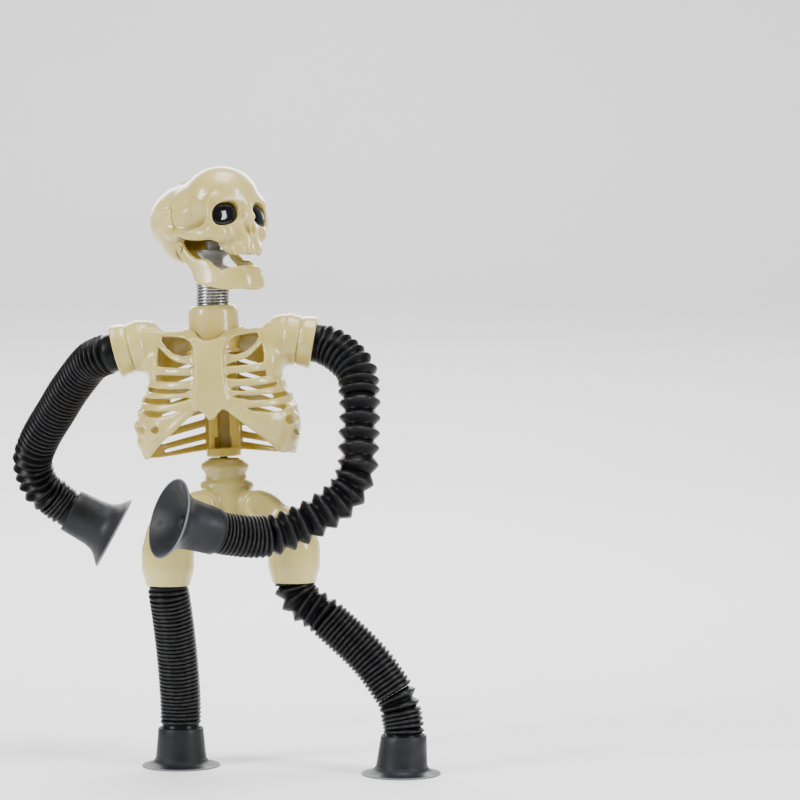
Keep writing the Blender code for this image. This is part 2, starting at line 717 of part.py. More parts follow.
def spring(low, high):
    """Helix of round wire between two heights."""
    turns = (high - low - 2 * SPRING_WIRE) / SPRING_PITCH
    steps = round(turns * SPRING_STEPS)
    rings = []
    for i in range(steps + 1):
        a = 2 * math.pi * i / SPRING_STEPS
        out = Vector((math.cos(a), math.sin(a), 0))
        rise = i / SPRING_STEPS * SPRING_PITCH
        centre = Vector((HEAD_ORIGIN.x, HEAD_ORIGIN.y, low + SPRING_WIRE + rise)) + out * SPRING_RADIUS
        ring = []
        for k in range(SPRING_SIDES):
            b = 2 * math.pi * k / SPRING_SIDES
            ring.append(centre + (out * math.cos(b) + Vector((0, 0, math.sin(b)))) * SPRING_WIRE)
        rings.append(ring)
    return lofted(rings)


# ---------------------------------------------------------------- pelvis


def pelvis_blobs():
    shapes = [
        ellipsoid((-1.8, 12, 142.8), (11.4, 9.2, 3.6)),
        ellipsoid((-1.4, 12, 139.0), (9.6, 8.2, 4.6)),
        ellipsoid((-0.9, 12, 134.4), (12.8, 9.6, 4.0)),
        ellipsoid((0.5, 9, 124.0), (10.5, 8.0, 13.0)),
        ellipsoid((1.7, 2, 110.0), (20.0, 8.5, 6.8)),
    ]
    for hip, sign in ((RIGHT_HIP, -1), (LEFT_HIP, 1)):
        shapes.append(ellipsoid((1.2 + sign * 16.5, 3, 122.5), (12.5, 7.0, 8.6), (0, sign * 33, 0)))
        shapes.append(ellipsoid((hip.x - sign * 2.5, 1, 112.5), (13.8, 11.0, 9.5), (0, sign * 40, 0)))
        column = [(hip.x, hip.y, hip.z + rise) for rise in (-3, 7, 15)] + [(hip.x - sign * 1.5, 0, 112)]
        shapes.append(bar(column, [HIP_RADIUS, HIP_RADIUS, HIP_RADIUS, HIP_RADIUS - 1.5], 20))
    return joined(*shapes)


def hip_bore(hip):
    """Socket for the leg's tube, with the hollow of the hip above it."""
    shoulder_height = SPIGOT + 0.8
    profile = [
        (0, -12), (HIP_BORE, -12), (HIP_BORE, shoulder_height), (HIP_HOLLOW, shoulder_height),
        (HIP_HOLLOW, 24.0), (0, 24.0),
    ]
    return turned(profile, 18, hip, (0, 0, 1))


def build_pelvis(figure):
    cutters = {
        "hip_bores": joined(hip_bore(RIGHT_HIP), hip_bore(LEFT_HIP)),
        "below_hips": joined(
            block((-60, -40, 60), (1, 40, RIGHT_HIP.z)),
            block((1.5, -40, 60), (60, 40, LEFT_HIP.z)),
        ),
        "waist_bore": turned([(0, -9), (2.2, -9), (2.2, 6), (0, 6)], 12, (WAIST.x, WAIST.y, 141), (0, 0, 1)),
        "above_waist": block((-40, -40, WAIST.z - 0.9), (40, 60, 170)),
        "pelvis_behind": block((-80, PELVIS_SEAM - GAP / 2, 60), (80, 60, 170)),
        "pelvis_before": block((-80, -60, 60), (80, PELVIS_SEAM + GAP / 2, 170)),
    }
    cuts = {name: figure.cutter(name, "pelvis", shape) for name, shape in cutters.items()}
    for name, half in (("pelvis_front", "pelvis_behind"), ("pelvis_back", "pelvis_before")):
        obj = figure.piece(name, "pelvis", pelvis_blobs(), "bone", smooth=60)
        fused(obj, voxel=1.3, smoothing=3, ratio=0.05)
        for cut in ("hip_bores", "below_hips", "above_waist", "waist_bore", half):
            boolean(obj, cuts[cut], solver="MANIFOLD")
    pin = turned([(0, -7.5), (1.8, -7.5), (1.8, 4.6), (3.4, 4.9), (3.0, 6.2), (0, 6.6)], 12, WAIST, (0, 0, 1))
    figure.piece("waist_pin", "pelvis", pin, "bone")


# ---------------------------------------------------------------- limbs


def hand_cup(rim, axis):
    """Relaxed suction cup: a shallow bowl, a flared bell and a sleeve. Heights run from the rim back."""
    profile = [
        (0, 7.0), (2.4, 6.8), (3.2, 7.6), (7.0, 6.2), (12.5, 3.4), (16.4, 0.7), (17.0, 0.0),
        (RIM_RADIUS, 0.0), (RIM_RADIUS, 0.6), (16.2, 2.6), (13.2, 5.4), (SLEEVE_BASE, 8.6),
        (SLEEVE_TOP, HAND_HEIGHT), (SLEEVE_BORE, HAND_HEIGHT), (SLEEVE_BORE, HAND_HEIGHT - SLEEVE_DEPTH),
        (0, HAND_HEIGHT - SLEEVE_DEPTH),
    ]
    return turned(profile, CUP_SIDES, rim, -Vector(axis))


def foot_cup(centre, sleeve_end):
    """Suction cup pressed flat on the floor, its sleeve leaning to the end of the leg."""
    lean = (Vector(sleeve_end) - centre) / FOOT_HEIGHT
    lean.z = 0
    profile = [
        (0, 1.3), (6.0, 1.3), (12.5, 0.8), (15.2, 0.0), (RIM_RADIUS, 0.0), (RIM_RADIUS, 0.7), (14.2, 1.7),
        (SLEEVE_BASE + 0.4, 3.0), (SLEEVE_BASE, 4.2), (SLEEVE_TOP, FOOT_HEIGHT), (SLEEVE_BORE, FOOT_HEIGHT),
        (SLEEVE_BORE, FOOT_HEIGHT - SLEEVE_DEPTH + 0.6), (0, FOOT_HEIGHT - SLEEVE_DEPTH + 0.6),
    ]
    return turned(profile, CUP_SIDES, centre, (0, 0, 1), lean=lean)


TUBES = [  # node, joint whose body carries it, limb, start, runs of (end, folds), plug, head
    ("right_arm_band", "right_shoulder_swivel", "right_arm", 4.0, [], 0, ARM_HEAD),
    ("right_shoulder_bellows", "right_shoulder_bend", "right_arm", 4.0, [(18.4, 3)], 0, 0),
    ("right_upper_arm_bellows", "right_arm_stretch", "right_arm", 18.4, [(78.9, 23)], 0, 0),
    ("right_elbow_bellows", "right_elbow_bend", "right_arm", 78.9, [(113.2, 6)], 0, 0),
    ("right_wrist_tube", "right_elbow_bend", "right_arm", 113.2, [(123.0, 4)], 13.0, 0),
    ("left_arm_band", "left_shoulder_swivel", "left_arm", 4.0, [], 0, ARM_HEAD),
    ("left_shoulder_bellows", "left_shoulder_bend", "left_arm", 4.0, [(22.0, 5), (39.5, 4)], 0, 0),
    ("left_upper_arm_bellows", "left_arm_stretch", "left_arm", 39.5, [(75.4, 5)], 0, 0),
    ("left_elbow_bellows", "left_elbow_bend", "left_arm", 75.4, [(109.9, 5)], 0, 0),
    ("left_forearm_bellows", "left_forearm_stretch", "left_arm", 109.9, [(129.0, 3), (147.3, 7)], 0, 0),
    ("left_wrist_tube", "left_forearm_stretch", "left_arm", 147.3, [(155.0, 3)], 13.0, 0),
    ("right_leg_band", "pelvis", "right_leg", 1.0, [], 0, LEG_HEAD),
    ("right_hip_bellows", "right_hip_bend", "right_leg", 1.0, [(19.0, 9)], 0, 0),
    ("right_leg_bellows", "right_leg_stretch", "right_leg", 19.0, [(52.0, 17)], 0, 0),
    ("right_ankle_bellows", "right_ankle_bend", "right_leg", 52.0, [(66.0, 7)], 0, 0),
    ("right_ankle_tube", "right_ankle_bend", "right_leg", 66.0, [(68.3, 1)], 12.5, 0),
    ("left_leg_band", "pelvis", "left_leg", 1.0, [], 0, LEG_HEAD),
    ("left_hip_bellows", "left_hip_bend", "left_leg", 1.0, [(24.8, 5)], 0, 0),
    ("left_leg_bellows", "left_leg_stretch", "left_leg", 24.8, [(72.1, 21)], 0, 0),
    ("left_ankle_bellows", "left_ankle_bend", "left_leg", 72.1, [(80.5, 2), (89.0, 4)], 0, 0),
    ("left_ankle_tube", "left_ankle_bend", "left_leg", 89.0, [(91.8, 1)], 12.5, 0),
]


def build_tubes(figure, limbs):
    for name, joint, limb, start, runs, plug, head in TUBES:
        figure.piece(name, joint, limbs[limb].tube(start, runs, plug, head), "tube")


def build_cups(figure):
    hands = (("right", RIGHT_ARM, "right_elbow_bend"), ("left", LEFT_ARM, "left_forearm_stretch"))
    for side, route, joint in hands:
        rim = Vector(route[-1])
        axis = (rim - Vector(route[-2])).normalized()
        figure.piece(f"{side}_hand_cup", joint, hand_cup(rim, axis), "rubber")
    for side, centre, route in (("right", RIGHT_FOOT, RIGHT_LEG), ("left", LEFT_FOOT, LEFT_LEG)):
        figure.piece(f"{side}_foot_cup", f"{side}_ankle_bend", foot_cup(centre, route[-2]), "rubber")


# ---------------------------------------------------------------- bodies


def build_bodies(figure, limbs):
    """One empty per joint, from the pelvis outwards, each on its joint's axis."""
    torso = torso_matrix()
    head = head_matrix()
    figure.body("pelvis", None, (0, 0, 0))
    figure.body("waist_turn", "pelvis", WAIST)
    figure.body("neck_turn", "waist_turn", torso @ Vector((0, 0, COLLAR_TOP)))
    figure.body("neck_nod", "neck_turn", (HEAD_ORIGIN.x, 0, 222.0))
    figure.body("neck_sway", "neck_nod", (HEAD_ORIGIN.x, 0, 230.0))
    figure.body("jaw_hinge", "neck_sway", head @ Vector(JAW_AXIS))
    for side, sign in (("right", -1), ("left", 1)):
        face = torso @ Vector((sign * CUFF_FACE.x, 0, CUFF_FACE.z))
        figure.body(f"{side}_shoulder_swivel", "waist_turn", face)
    chain = [
        ("right_shoulder_bend", "right_shoulder_swivel", "right_arm", 11.0),
        ("right_arm_stretch", "right_shoulder_bend", "right_arm", 48.0),
        ("right_elbow_bend", "right_arm_stretch", "right_arm", 96.0),
        ("left_shoulder_bend", "left_shoulder_swivel", "left_arm", 22.0),
        ("left_arm_stretch", "left_shoulder_bend", "left_arm", 57.5),
        ("left_elbow_bend", "left_arm_stretch", "left_arm", 92.0),
        ("left_forearm_stretch", "left_elbow_bend", "left_arm", 130.0),
        ("right_hip_bend", "pelvis", "right_leg", 10.0),
        ("right_leg_stretch", "right_hip_bend", "right_leg", 35.5),
        ("right_ankle_bend", "right_leg_stretch", "right_leg", 59.0),
        ("left_hip_bend", "pelvis", "left_leg", 13.0),
        ("left_leg_stretch", "left_hip_bend", "left_leg", 48.0),
        ("left_ankle_bend", "left_leg_stretch", "left_leg", 79.0),
    ]
    for joint, parent, limb, length in chain:
        pivot = limbs[limb].at(length)[0]
        if joint in ("right_hip_bend", "right_ankle_bend"):
            pivot.x -= TUBE_PEAK  # a shut bellows opens on one side, about its other edge
        figure.body(joint, parent, pivot)


def main():
    clear_scene()
    figure = Figure(make_materials())
    torso_turn = torso_matrix().to_3x3()
    limbs = {
        "right_arm": Limb(RIGHT_ARM, torso_turn @ cuff_axis(-1)),
        "left_arm": Limb(LEFT_ARM, torso_turn @ cuff_axis(1)),
        "right_leg": Limb(RIGHT_LEG, (0, 0, -1)),
        "left_leg": Limb(LEFT_LEG, (0, 0, -1)),
    }
    build_bodies(figure, limbs)
    build_pelvis(figure)
    build_torso(figure)
    build_head(figure)
    figure.piece("neck_spring_lower", "neck_nod", spring(SPRING_BASE, SPRING_MIDDLE - GAP), "steel")
    figure.piece("neck_spring_upper", "neck_sway", spring(SPRING_MIDDLE, SPRING_TOP), "steel")
    build_tubes(figure, limbs)
    build_cups(figure)


main()
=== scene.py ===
"""Looks of a posable halloween skeleton figure: cream plastic bones, pop-tube limbs, suction cups.

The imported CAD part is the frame. Every visible piece here stands for one CAD node and lies where that node
lies. Shapes are given in millimetres in the figure's own frame (x to the viewer's right, y away, z up), and
placed() turns them into metres in the frame's own coordinates. The bones are signed distance fields, skinned
by surface nets; the tubes, cups and small parts are swept or turned.
"""

import itertools
import math

import bpy
import numpy as np
from mathutils import Euler, Matrix, Vector


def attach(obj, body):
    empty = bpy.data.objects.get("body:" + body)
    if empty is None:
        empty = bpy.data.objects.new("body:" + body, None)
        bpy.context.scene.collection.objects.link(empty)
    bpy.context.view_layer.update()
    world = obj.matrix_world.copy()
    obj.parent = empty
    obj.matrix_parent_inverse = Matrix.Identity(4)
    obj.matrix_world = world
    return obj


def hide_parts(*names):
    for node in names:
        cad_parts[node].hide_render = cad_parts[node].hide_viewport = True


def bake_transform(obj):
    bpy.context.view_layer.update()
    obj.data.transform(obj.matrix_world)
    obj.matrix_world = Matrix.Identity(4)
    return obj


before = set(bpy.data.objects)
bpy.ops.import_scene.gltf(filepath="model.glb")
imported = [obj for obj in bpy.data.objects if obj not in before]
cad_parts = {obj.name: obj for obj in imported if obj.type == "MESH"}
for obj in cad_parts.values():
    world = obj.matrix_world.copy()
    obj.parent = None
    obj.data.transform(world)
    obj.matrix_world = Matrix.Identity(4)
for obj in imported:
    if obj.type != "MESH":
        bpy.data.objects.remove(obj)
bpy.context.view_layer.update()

MM = 0.001
SHIFT = np.array((3.9, -5.0, 0.0))

# Clearances
SEAM_GAP = 0.05  # each half of the skull stops this far short of its seam
SHELL_GAP = 0.15  # the same for the halves of the rib cage and the pelvis
WAIST_GAP = 0.15
TUBE_TRIM = 0.04  # each length of tube loses this at both ends
COLLAR_GAP = 0.35

# Pop tube
TUBE_PEAK = 9.75
TUBE_BORE = 6.1
BAND_RADIUS = 9.1
PLUG_RADIUS = 8.95
VALLEY_SHUT = 8.25
VALLEY_OPEN = 6.9
PITCH_SHUT = 1.8
PITCH_OPEN = 7.0
TUBE_SIDES = 56
CHORD = 3.5  # a tangent is taken over this length ahead and behind
STRAIGHT = 2.5  # a tube leaves its socket straight for this far
LEAD_IN = 10.0
MARK_STEP = 0.5
SPIGOT = 7.0

# Suction cups
SLEEVE_TOP = 10.7
SLEEVE_BORE = 9.5
SLEEVE_DEPTH = 15.0
RIM_RADIUS = 18.6
FOOT_HEIGHT = 18.3
HAND_HEIGHT = 24.5

# Torso
TORSO_ORIGIN = Vector((-3.4, 0.0, 149.0))
TORSO_LEAN = math.radians(-2.6)
SPINE_X = 1.0
SPINE_Y = 13.0
CUFF_FACE = Vector((46.6, 0.0, 50.4))
CUFF_TILT = math.radians(12.5)
CUFF_RADIUS = 12.5
CUFF_LENGTH = 7.5
CUFF_BORE = 9.5
SHOULDER_BORE = 8.6
COLLAR_RADIUS = 11.8
COLLAR_BORE = 8.8
COLLAR_TOP = 70.2
COLLAR_BOTTOM = 48.0
SPRING_SEAT = 65.5

# Neck and head
SPRING_RADIUS = 7.5
SPRING_WIRE = 0.69
SPRING_PITCH = 1.44
SPRING_BASE = 216.2
SPRING_MIDDLE = 226.0
SPRING_TOP = 234.8
COIL_STEPS = 48
WIRE_SIDES = 12
HEAD_ORIGIN = Vector((-6.5, 0.0, 240.0))
HEAD_YAW = math.radians(48.0)
HEAD_PITCH = math.radians(-12.0)
SEAM_Y = 3.0
PEG_Y = 11.2
EYE = (10.9, -23.3, 17.0)
JAW_PIN = (18.7, 2.5, 6.0)

# Pelvis
WAIST = Vector((-2.35, 13.0, 147.1))
PELVIS_SEAM = -0.6
HIP_RADIUS = 12.2
HIP_BORE = 9.5
RIGHT_HIP = (-28.0, 0.0, 87.4)
LEFT_HIP = (31.4, 0.0, 88.8)

# Limb routes: the tube's centreline, from the face of its socket to its rubber cup
RIGHT_ARM = [
    (-52.2, 0, 197.2), (-60.0, 3.2, 194.8), (-66.0, 9.5, 191.2), (-77.1, 23, 178.5), (-84.7, 33, 167.8),
    (-90.8, 40, 159.2), (-95.4, 46, 151.3), (-98.5, 52, 143.6), (-97.5, 56, 135.4), (-94.5, 59, 128.7),
    (-89.6, 62, 124.8), (-81.7, 64, 118.4), (-59.9, 66, 106.6),
]
LEFT_ARM = [
    (40.9, 0, 201.5), (49, -2.0, 199.4), (56.6, -6.5, 193.8), (61.3, -10.5, 187.5), (62.4, -15, 177.7),
    (62.7, -17, 171), (62.6, -19, 164.1), (62.3, -21, 157.3), (62.1, -23, 150.4), (61.4, -24, 143),
    (58.2, -25, 135.2), (54.6, -26, 130.5), (49.4, -27.5, 126.1), (38.4, -30, 119.5),
    (27.3, -33.5, 114.9), (20.2, -36, 113.3), (14.5, -38, 113.1), (6.1, -42, 114.2),
    (-2.3, -46.5, 116.2), (-22.9, -58, 123.1),
]
RIGHT_LEG = [
    (-27.7, 0, 86.7), (-26.2, 3, 72.5), (-24.3, 8, 51.9), (-23.2, 12, 31.4), (-23.1, 12.4, 18.3),
    (-22.9, 12.4, 0),
]
LEFT_LEG = [
    (31.4, 0, 89.0), (31.9, 0, 85.4), (34.2, -1, 81.1), (37.5, -1.7, 78.3), (41.6, -2.5, 75.9),
    (46.5, -3.5, 72.4), (54.1, -5, 65.7), (61.7, -6.5, 58.9), (68.9, -8, 51.3), (74, -9, 44.4),
    (78.3, -10, 38.2), (80.4, -10.5, 34.2), (82.4, -11, 25.4), (83.1, -11.6, 18.5), (81.8, -12, 0),
]
RIGHT_FOOT = Vector((-22.9, 12.4, 0.0))
LEFT_FOOT = Vector((81.8, -12.0, 0.0))


# --- materials


class Finish:
    """A material's node tree, built a node at a time."""

    def __init__(self, name, **values):
        self.material = bpy.data.materials.new(name)
        self.material.use_nodes = True
        self.tree = self.material.node_tree
        self.shader = self.tree.nodes["Principled BSDF"]
        for socket, value in values.items():
            self.shader.inputs[socket.replace("_", " ")].default_value = value
        self.where = self.node("ShaderNodeTexCoord").outputs["Object"]

    def node(self, kind, **settings):
        made = self.tree.nodes.new(kind)
        for key, value in settings.items():
            setattr(made, key, value)
        return made

    def link(self, start, end):
        self.tree.links.new(start, end)

    def noise(self, scale, detail=4.0, roughness=0.5, distortion=0.0):
        made = self.node("ShaderNodeTexNoise")
        made.inputs["Scale"].default_value = scale
        made.inputs["Detail"].default_value = detail
        made.inputs["Roughness"].default_value = roughness
        made.inputs["Distortion"].default_value = distortion
        self.link(self.where, made.inputs["Vector"])
        return made.outputs["Fac"]

    def ramp(self, factor, stops):
        made = self.node("ShaderNodeValToRGB")
        made.color_ramp.elements[0].position = stops[0][0]
        made.color_ramp.elements[0].color = stops[0][1]
        made.color_ramp.elements[1].position = stops[-1][0]
        made.color_ramp.elements[1].color = stops[-1][1]
        for place, colour in stops[1:-1]:
            made.color_ramp.elements.new(place).color = colour
        self.link(factor, made.inputs["Fac"])
        return made.outputs["Color"]

    def mottled(self, scale, low, high, detail=4.0):
        """A colour that drifts between two."""
        return self.ramp(self.noise(scale, detail), [(0.3, (*low, 1)), (0.7, (*high, 1))])

    def spread(self, factor, low, high):
        """factor, from 0.3 to 0.7, run from low to high."""
        made = self.node("ShaderNodeMapRange")
        made.inputs["From Min"].default_value = 0.3
        made.inputs["From Max"].default_value = 0.7
        made.inputs["To Min"].default_value = low
        made.inputs["To Max"].default_value = high
        self.link(factor, made.inputs["Value"])
        return made.outputs["Result"]

    def mixed(self, factor, first, second):
        made = self.node("ShaderNodeMix", data_type="RGBA")
        self.link(factor, made.inputs["Factor"])
        for colour, socket in ((first, made.inputs[6]), (second, made.inputs[7])):
            if isinstance(colour, tuple):
                socket.default_value = colour
            else:
                self.link(colour, socket)
        return made.outputs[2]

    def product(self, first, second):
        made = self.node("ShaderNodeMath", operation="MULTIPLY")
        for value, socket in ((first, made.inputs[0]), (second, made.inputs[1])):
            if isinstance(value, float):
                socket.default_value = value
            else:
                self.link(value, socket)
        return made.outputs[0]

    def attribute(self, name):
        return self.node("ShaderNodeAttribute", attribute_name=name).outputs["Fac"]

    def bumps(self, *heights):
        """Bump nodes in a row, each (height, distance in metres, strength)."""
        normal = None
        for height, distance, strength in heights:
            made = self.node("ShaderNodeBump")
            made.inputs["Distance"].default_value = distance
            made.inputs["Strength"].default_value = strength
            self.link(height, made.inputs["Height"])
            if normal is not None:
                self.link(normal, made.inputs["Normal"])
            normal = made.outputs["Normal"]
        self.link(normal, self.shader.inputs["Normal"])

    def set(self, socket, output):
        self.link(output, self.shader.inputs[socket])


def bone_finish():
    """Cream, slightly see-through moulded plastic with faint flow marks and a soft gloss; its inner faces get
    painted shade, a deeper, darker yellow.
    """
    f = Finish(
        "bone_plastic", Subsurface_Weight=0.28, Subsurface_Radius=(1.0, 0.75, 0.35), Subsurface_Scale=0.0025,
        IOR=1.5, Coat_Weight=0.45, Coat_Roughness=0.1,
    )
    cream = f.ramp(f.noise(45.0, 3.0), [
        (0.3, (0.44, 0.355, 0.105, 1)), (0.5, (0.50, 0.41, 0.13, 1)), (0.72, (0.56, 0.47, 0.165, 1)),
    ])
    # deep: the deeper, darker yellow of painted shade, mixed in on inner faces by the inner attribute
    deep = f.mottled(70.0, (0.44, 0.31, 0.035), (0.50, 0.37, 0.06), 3.0)
    colour = f.mixed(f.attribute("inner"), cream, deep)
    dirt = f.ramp(f.noise(420.0, 6.0, 0.7), [(0.30, (0.55, 0.50, 0.36, 1)), (0.42, (1, 1, 1, 1))])
    soiled = f.node("ShaderNodeMix", data_type="RGBA", blend_type="MULTIPLY")
    soiled.inputs["Factor"].default_value = 0.25
    f.link(colour, soiled.inputs[6])
    f.link(dirt, soiled.inputs[7])
    f.set("Base Color", soiled.outputs[2])
    f.set("Roughness", f.spread(f.noise(160.0, 5.0), 0.26, 0.40))
    f.bumps((f.noise(110.0, 2.0), 0.0012, 0.22), (f.noise(900.0, 4.0), 0.0002, 0.12))
    return f.material


def tube_finish():
    """Black polypropylene: satin, paler along the crests: partly pale scuffs, dust and stress marks, partly
    painted highlight.
    """
    f = Finish("black_tube_plastic", IOR=1.42, Specular_IOR_Level=0.14)
    scuffs = f.ramp(f.noise(500.0, 5.0, 0.65), [(0.36, (0.25, 0.25, 0.25, 1)), (0.64, (1, 1, 1, 1))])
    # the crest attribute draws the crests paler: partly scuffs and dust, partly painted highlight
    crest = f.product(f.attribute("crest"), scuffs)
    black = f.mottled(120.0, (0.0015, 0.0015, 0.002), (0.003, 0.003, 0.0035))
    f.set("Base Color", f.mixed(f.product(crest, 0.5), black, (0.06, 0.06, 0.062, 1)))
    f.set("Roughness", f.spread(f.noise(300.0, 4.0), 0.27, 0.42))
    f.bumps((f.noise(260.0, 3.0), 0.0005, 0.15), (f.noise(1800.0, 3.0), 0.0001, 0.12))
    return f.material


def rubber_finish():
    """Dark grey PVC rubber: matt with a faint bluish bloom; paler on thin edges, painted light showing
    through them.
    """
    f = Finish("grey_rubber", IOR=1.45, Specular_IOR_Level=0.24)
    body = f.mottled(90.0, (0.006, 0.0064, 0.0075), (0.011, 0.0116, 0.0135))
    bloom = f.ramp(f.noise(35.0, 3.0, 0.6, 0.8), [(0.42, (0, 0, 0, 1)), (0.75, (1, 1, 1, 1))])
    hazed = f.mixed(f.product(bloom, 0.35), body, (0.030, 0.032, 0.045, 1))
    # rim: the thin edge is drawn paler, painted light showing through the thin rubber
    f.set("Base Color", f.mixed(f.attribute("rim"), hazed, (0.14, 0.145, 0.16, 1)))
    f.set("Roughness", f.spread(f.noise(220.0, 5.0), 0.38, 0.55))
    f.bumps((f.noise(150.0, 3.0), 0.0006, 0.2), (f.noise(2200.0, 3.0), 0.0001, 0.25))
    return f.material


def steel_finish():
    f = Finish("spring_steel", Metallic=1.0)
    f.set("Base Color", f.mottled(300.0, (0.34, 0.34, 0.35), (0.44, 0.44, 0.45), 3.0))
    f.set("Roughness", f.spread(f.noise(900.0, 4.0), 0.20, 0.30))
    f.bumps((f.noise(2600.0, 2.0), 0.00003, 0.1))
    return f.material


def spool_finish():
    f = Finish("grey_plastic", IOR=1.48)
    f.set("Base Color", f.mottled(120.0, (0.17, 0.175, 0.18), (0.24, 0.245, 0.25)))
    f.set("Roughness", f.spread(f.noise(400.0, 4.0), 0.28, 0.40))
    f.bumps((f.noise(700.0, 3.0), 0.0002, 0.2))
    return f.material


def eye_finish():
    f = Finish("gloss_black", IOR=1.45)
    f.set("Base Color", f.mottled(200.0, (0.001, 0.001, 0.002), (0.003, 0.003, 0.005)))
    f.set("Roughness", f.spread(f.noise(500.0, 3.0), 0.05, 0.12))
    f.bumps((f.noise(180.0, 2.0), 0.0006, 0.10))
    return f.material


def peg_finish():
    f = Finish(
        "pale_peg_plastic", Subsurface_Weight=0.2, Subsurface_Radius=(1.0, 0.5, 0.3), Subsurface_Scale=0.001,
    )
    # the pale pink stands for glare: a painted highlight over the whole peg
    f.set("Base Color", f.mottled(600.0, (0.80, 0.56, 0.42), (0.90, 0.74, 0.60)))
    f.set("Roughness", f.spread(f.noise(900.0), 0.30, 0.45))
    return f.material


MATERIALS = {
    "bone_plastic": bone_finish(), "black_tube_plastic": tube_finish(), "grey_rubber": rubber_finish(),
    "spring_steel": steel_finish(), "grey_plastic": spool_finish(), "gloss_black": eye_finish(),
    "pale_peg_plastic": peg_finish(),
}


# --- pieces


def placed(points):
    """Figure millimetres to frame metres."""
    return (np.asarray(points, float) + SHIFT) * MM


def through(matrix, points):
    m = np.array(matrix)
    return np.asarray(points, float) @ m[:3, :3].T + m[:3, 3]


def make(name, node, slot, points, faces, attributes=None, sharp=None):
    """A mesh object that stands for one CAD node; points are figure millimetres, faces rows of corners."""
    mesh = bpy.data.meshes.new(name)
    if isinstance(faces, np.ndarray):
        points = placed(points)
        mesh.vertices.add(len(points))
        mesh.vertices.foreach_set("co", points.astype(np.float32).ravel())
        mesh.loops.add(faces.size)
        mesh.loops.foreach_set("vertex_index", faces.astype(np.int32).ravel())
        mesh.polygons.add(len(faces))
        mesh.polygons.foreach_set("loop_start", np.arange(len(faces), dtype=np.int32) * faces.shape[1])
        mesh.update(calc_edges=True)
    else:
        mesh.from_pydata(placed(points).tolist(), [], faces)
    mesh.validate()
    mesh.shade_smooth()
    if sharp:
        mesh.set_sharp_from_angle(angle=math.radians(sharp))
    for key, values in (attributes or {}).items():
        layer = mesh.attributes.new(key, "FLOAT", "POINT")
        layer.data.foreach_set("value", np.asarray(values, np.float32))
    obj = bpy.data.objects.new(name, mesh)
    bpy.context.scene.collection.objects.link(obj)
    mesh.materials.append(MATERIALS[slot])
    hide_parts(node)
    return obj


# --- signed distance fields


class Grid:
    """Sample points of a box, in a local frame, open in each axis so that sums broadcast."""

    def __init__(self, low, high, step):
        self.low = np.array(low, float)
        self.step = step
        axes = [np.arange(a, b + step, step, dtype=np.float32) for a, b in zip(low, high)]
        self.x = axes[0][:, None, None]
        self.y = axes[1][None, :, None]
        self.z = axes[2][None, None, :]
        self.shape = tuple(len(a) for a in axes)


def blob(g, centre, radii, turn=None):
    """Ellipsoid; turn is in degrees about X, Y and Z."""
    x, y, z = g.x - centre[0], g.y - centre[1], g.z - centre[2]
    if turn:
        m = np.array(Euler([math.radians(a) for a in turn]).to_matrix().transposed(), np.float32)
        x, y, z = (m[i, 0] * x + m[i, 1] * y + m[i, 2] * z for i in range(3))
    a, b, c = radii
    k0 = np.sqrt((x / a) ** 2 + (y / b) ** 2 + (z / c) ** 2)
    k1 = np.sqrt((x / a**2) ** 2 + (y / b**2) ** 2 + (z / c**2) ** 2)
    return k0 * (k0 - 1) / np.maximum(k1, 1e-6)


def rod(g, a, b):
    """Round bar between two (x, y, z, radius) ends."""
    a, b = np.array(a, float), np.array(b, float)
    d = b[:3] - a[:3]
    length2 = max(float(d @ d), 1e-9)
    x, y, z = g.x - a[0], g.y - a[1], g.z - a[2]
    t = np.clip((x * d[0] + y * d[1] + z * d[2]) / length2, 0, 1)
    gone = (x - t * d[0]) ** 2 + (y - t * d[1]) ** 2 + (z - t * d[2]) ** 2
    return np.sqrt(gone) - (a[3] + (b[3] - a[3]) * t)


def chain(g, points):
    return np.minimum.reduce([rod(g, a, b) for a, b in zip(points, points[1:])])


def slab(g, centre, half, edge):
    """Box with rounded edges."""
    qx = np.abs(g.x - centre[0]) - half[0] + edge
    qy = np.abs(g.y - centre[1]) - half[1] + edge
    qz = np.abs(g.z - centre[2]) - half[2] + edge
    out = np.sqrt(np.maximum(qx, 0) ** 2 + np.maximum(qy, 0) ** 2 + np.maximum(qz, 0) ** 2)
    return out + np.minimum(np.maximum(np.maximum(qx, qy), qz), 0) - edge


def post(g, base, axis, radius, low, high):
    """Cylinder along an axis, from low to high."""
    n = Vector(axis).normalized()
    x, y, z = g.x - base[0], g.y - base[1], g.z - base[2]
    t = x * n.x + y * n.y + z * n.z
    out = np.sqrt(np.maximum(x * x + y * y + z * z - t * t, 0)) - radius
    return np.maximum(out, np.maximum(low - t, t - high))


def melt(a, b, k):
    h = np.maximum(k - np.abs(a - b), 0) / k
    return np.minimum(a, b) - h * h * k * 0.25


def carve(a, b, k=0.6):
    return -melt(-a, b, k)


def outline(u, v, corners, edge=0.0):
    """Distance to a closed polygon in a plane, its corners rounded by edge."""
    c = np.array(corners, float)
    d = np.full(np.broadcast(u, v).shape, 1e9)
    inside = np.zeros(d.shape, bool)
    for (ax, ay), (bx, by) in zip(c, np.roll(c, -1, axis=0)):
        ex, ey = bx - ax, by - ay
        t = np.clip(((u - ax) * ex + (v - ay) * ey) / (ex * ex + ey * ey), 0, 1)
        d = np.minimum(d, np.hypot(u - ax - t * ex, v - ay - t * ey))
        crosses = (v < ay) != (v < by)
        inside ^= crosses & (u < ax + (v - ay) * ex / (ey if ey else 1e-9))
    return np.where(inside, -d, d).astype(np.float32) - edge


def line_gap(u, v, points):
    """Distance to an open line in a plane."""
    gaps = []
    for (ax, ay), (bx, by) in zip(points, points[1:]):
        ex, ey = bx - ax, by - ay
        t = np.clip(((u - ax) * ex + (v - ay) * ey) / (ex * ex + ey * ey), 0, 1)
        gaps.append(np.hypot(u - ax - t * ex, v - ay - t * ey))
    return np.minimum.reduce(gaps)


def ridge(gap, width):
    return np.exp(-((gap / width) ** 2))


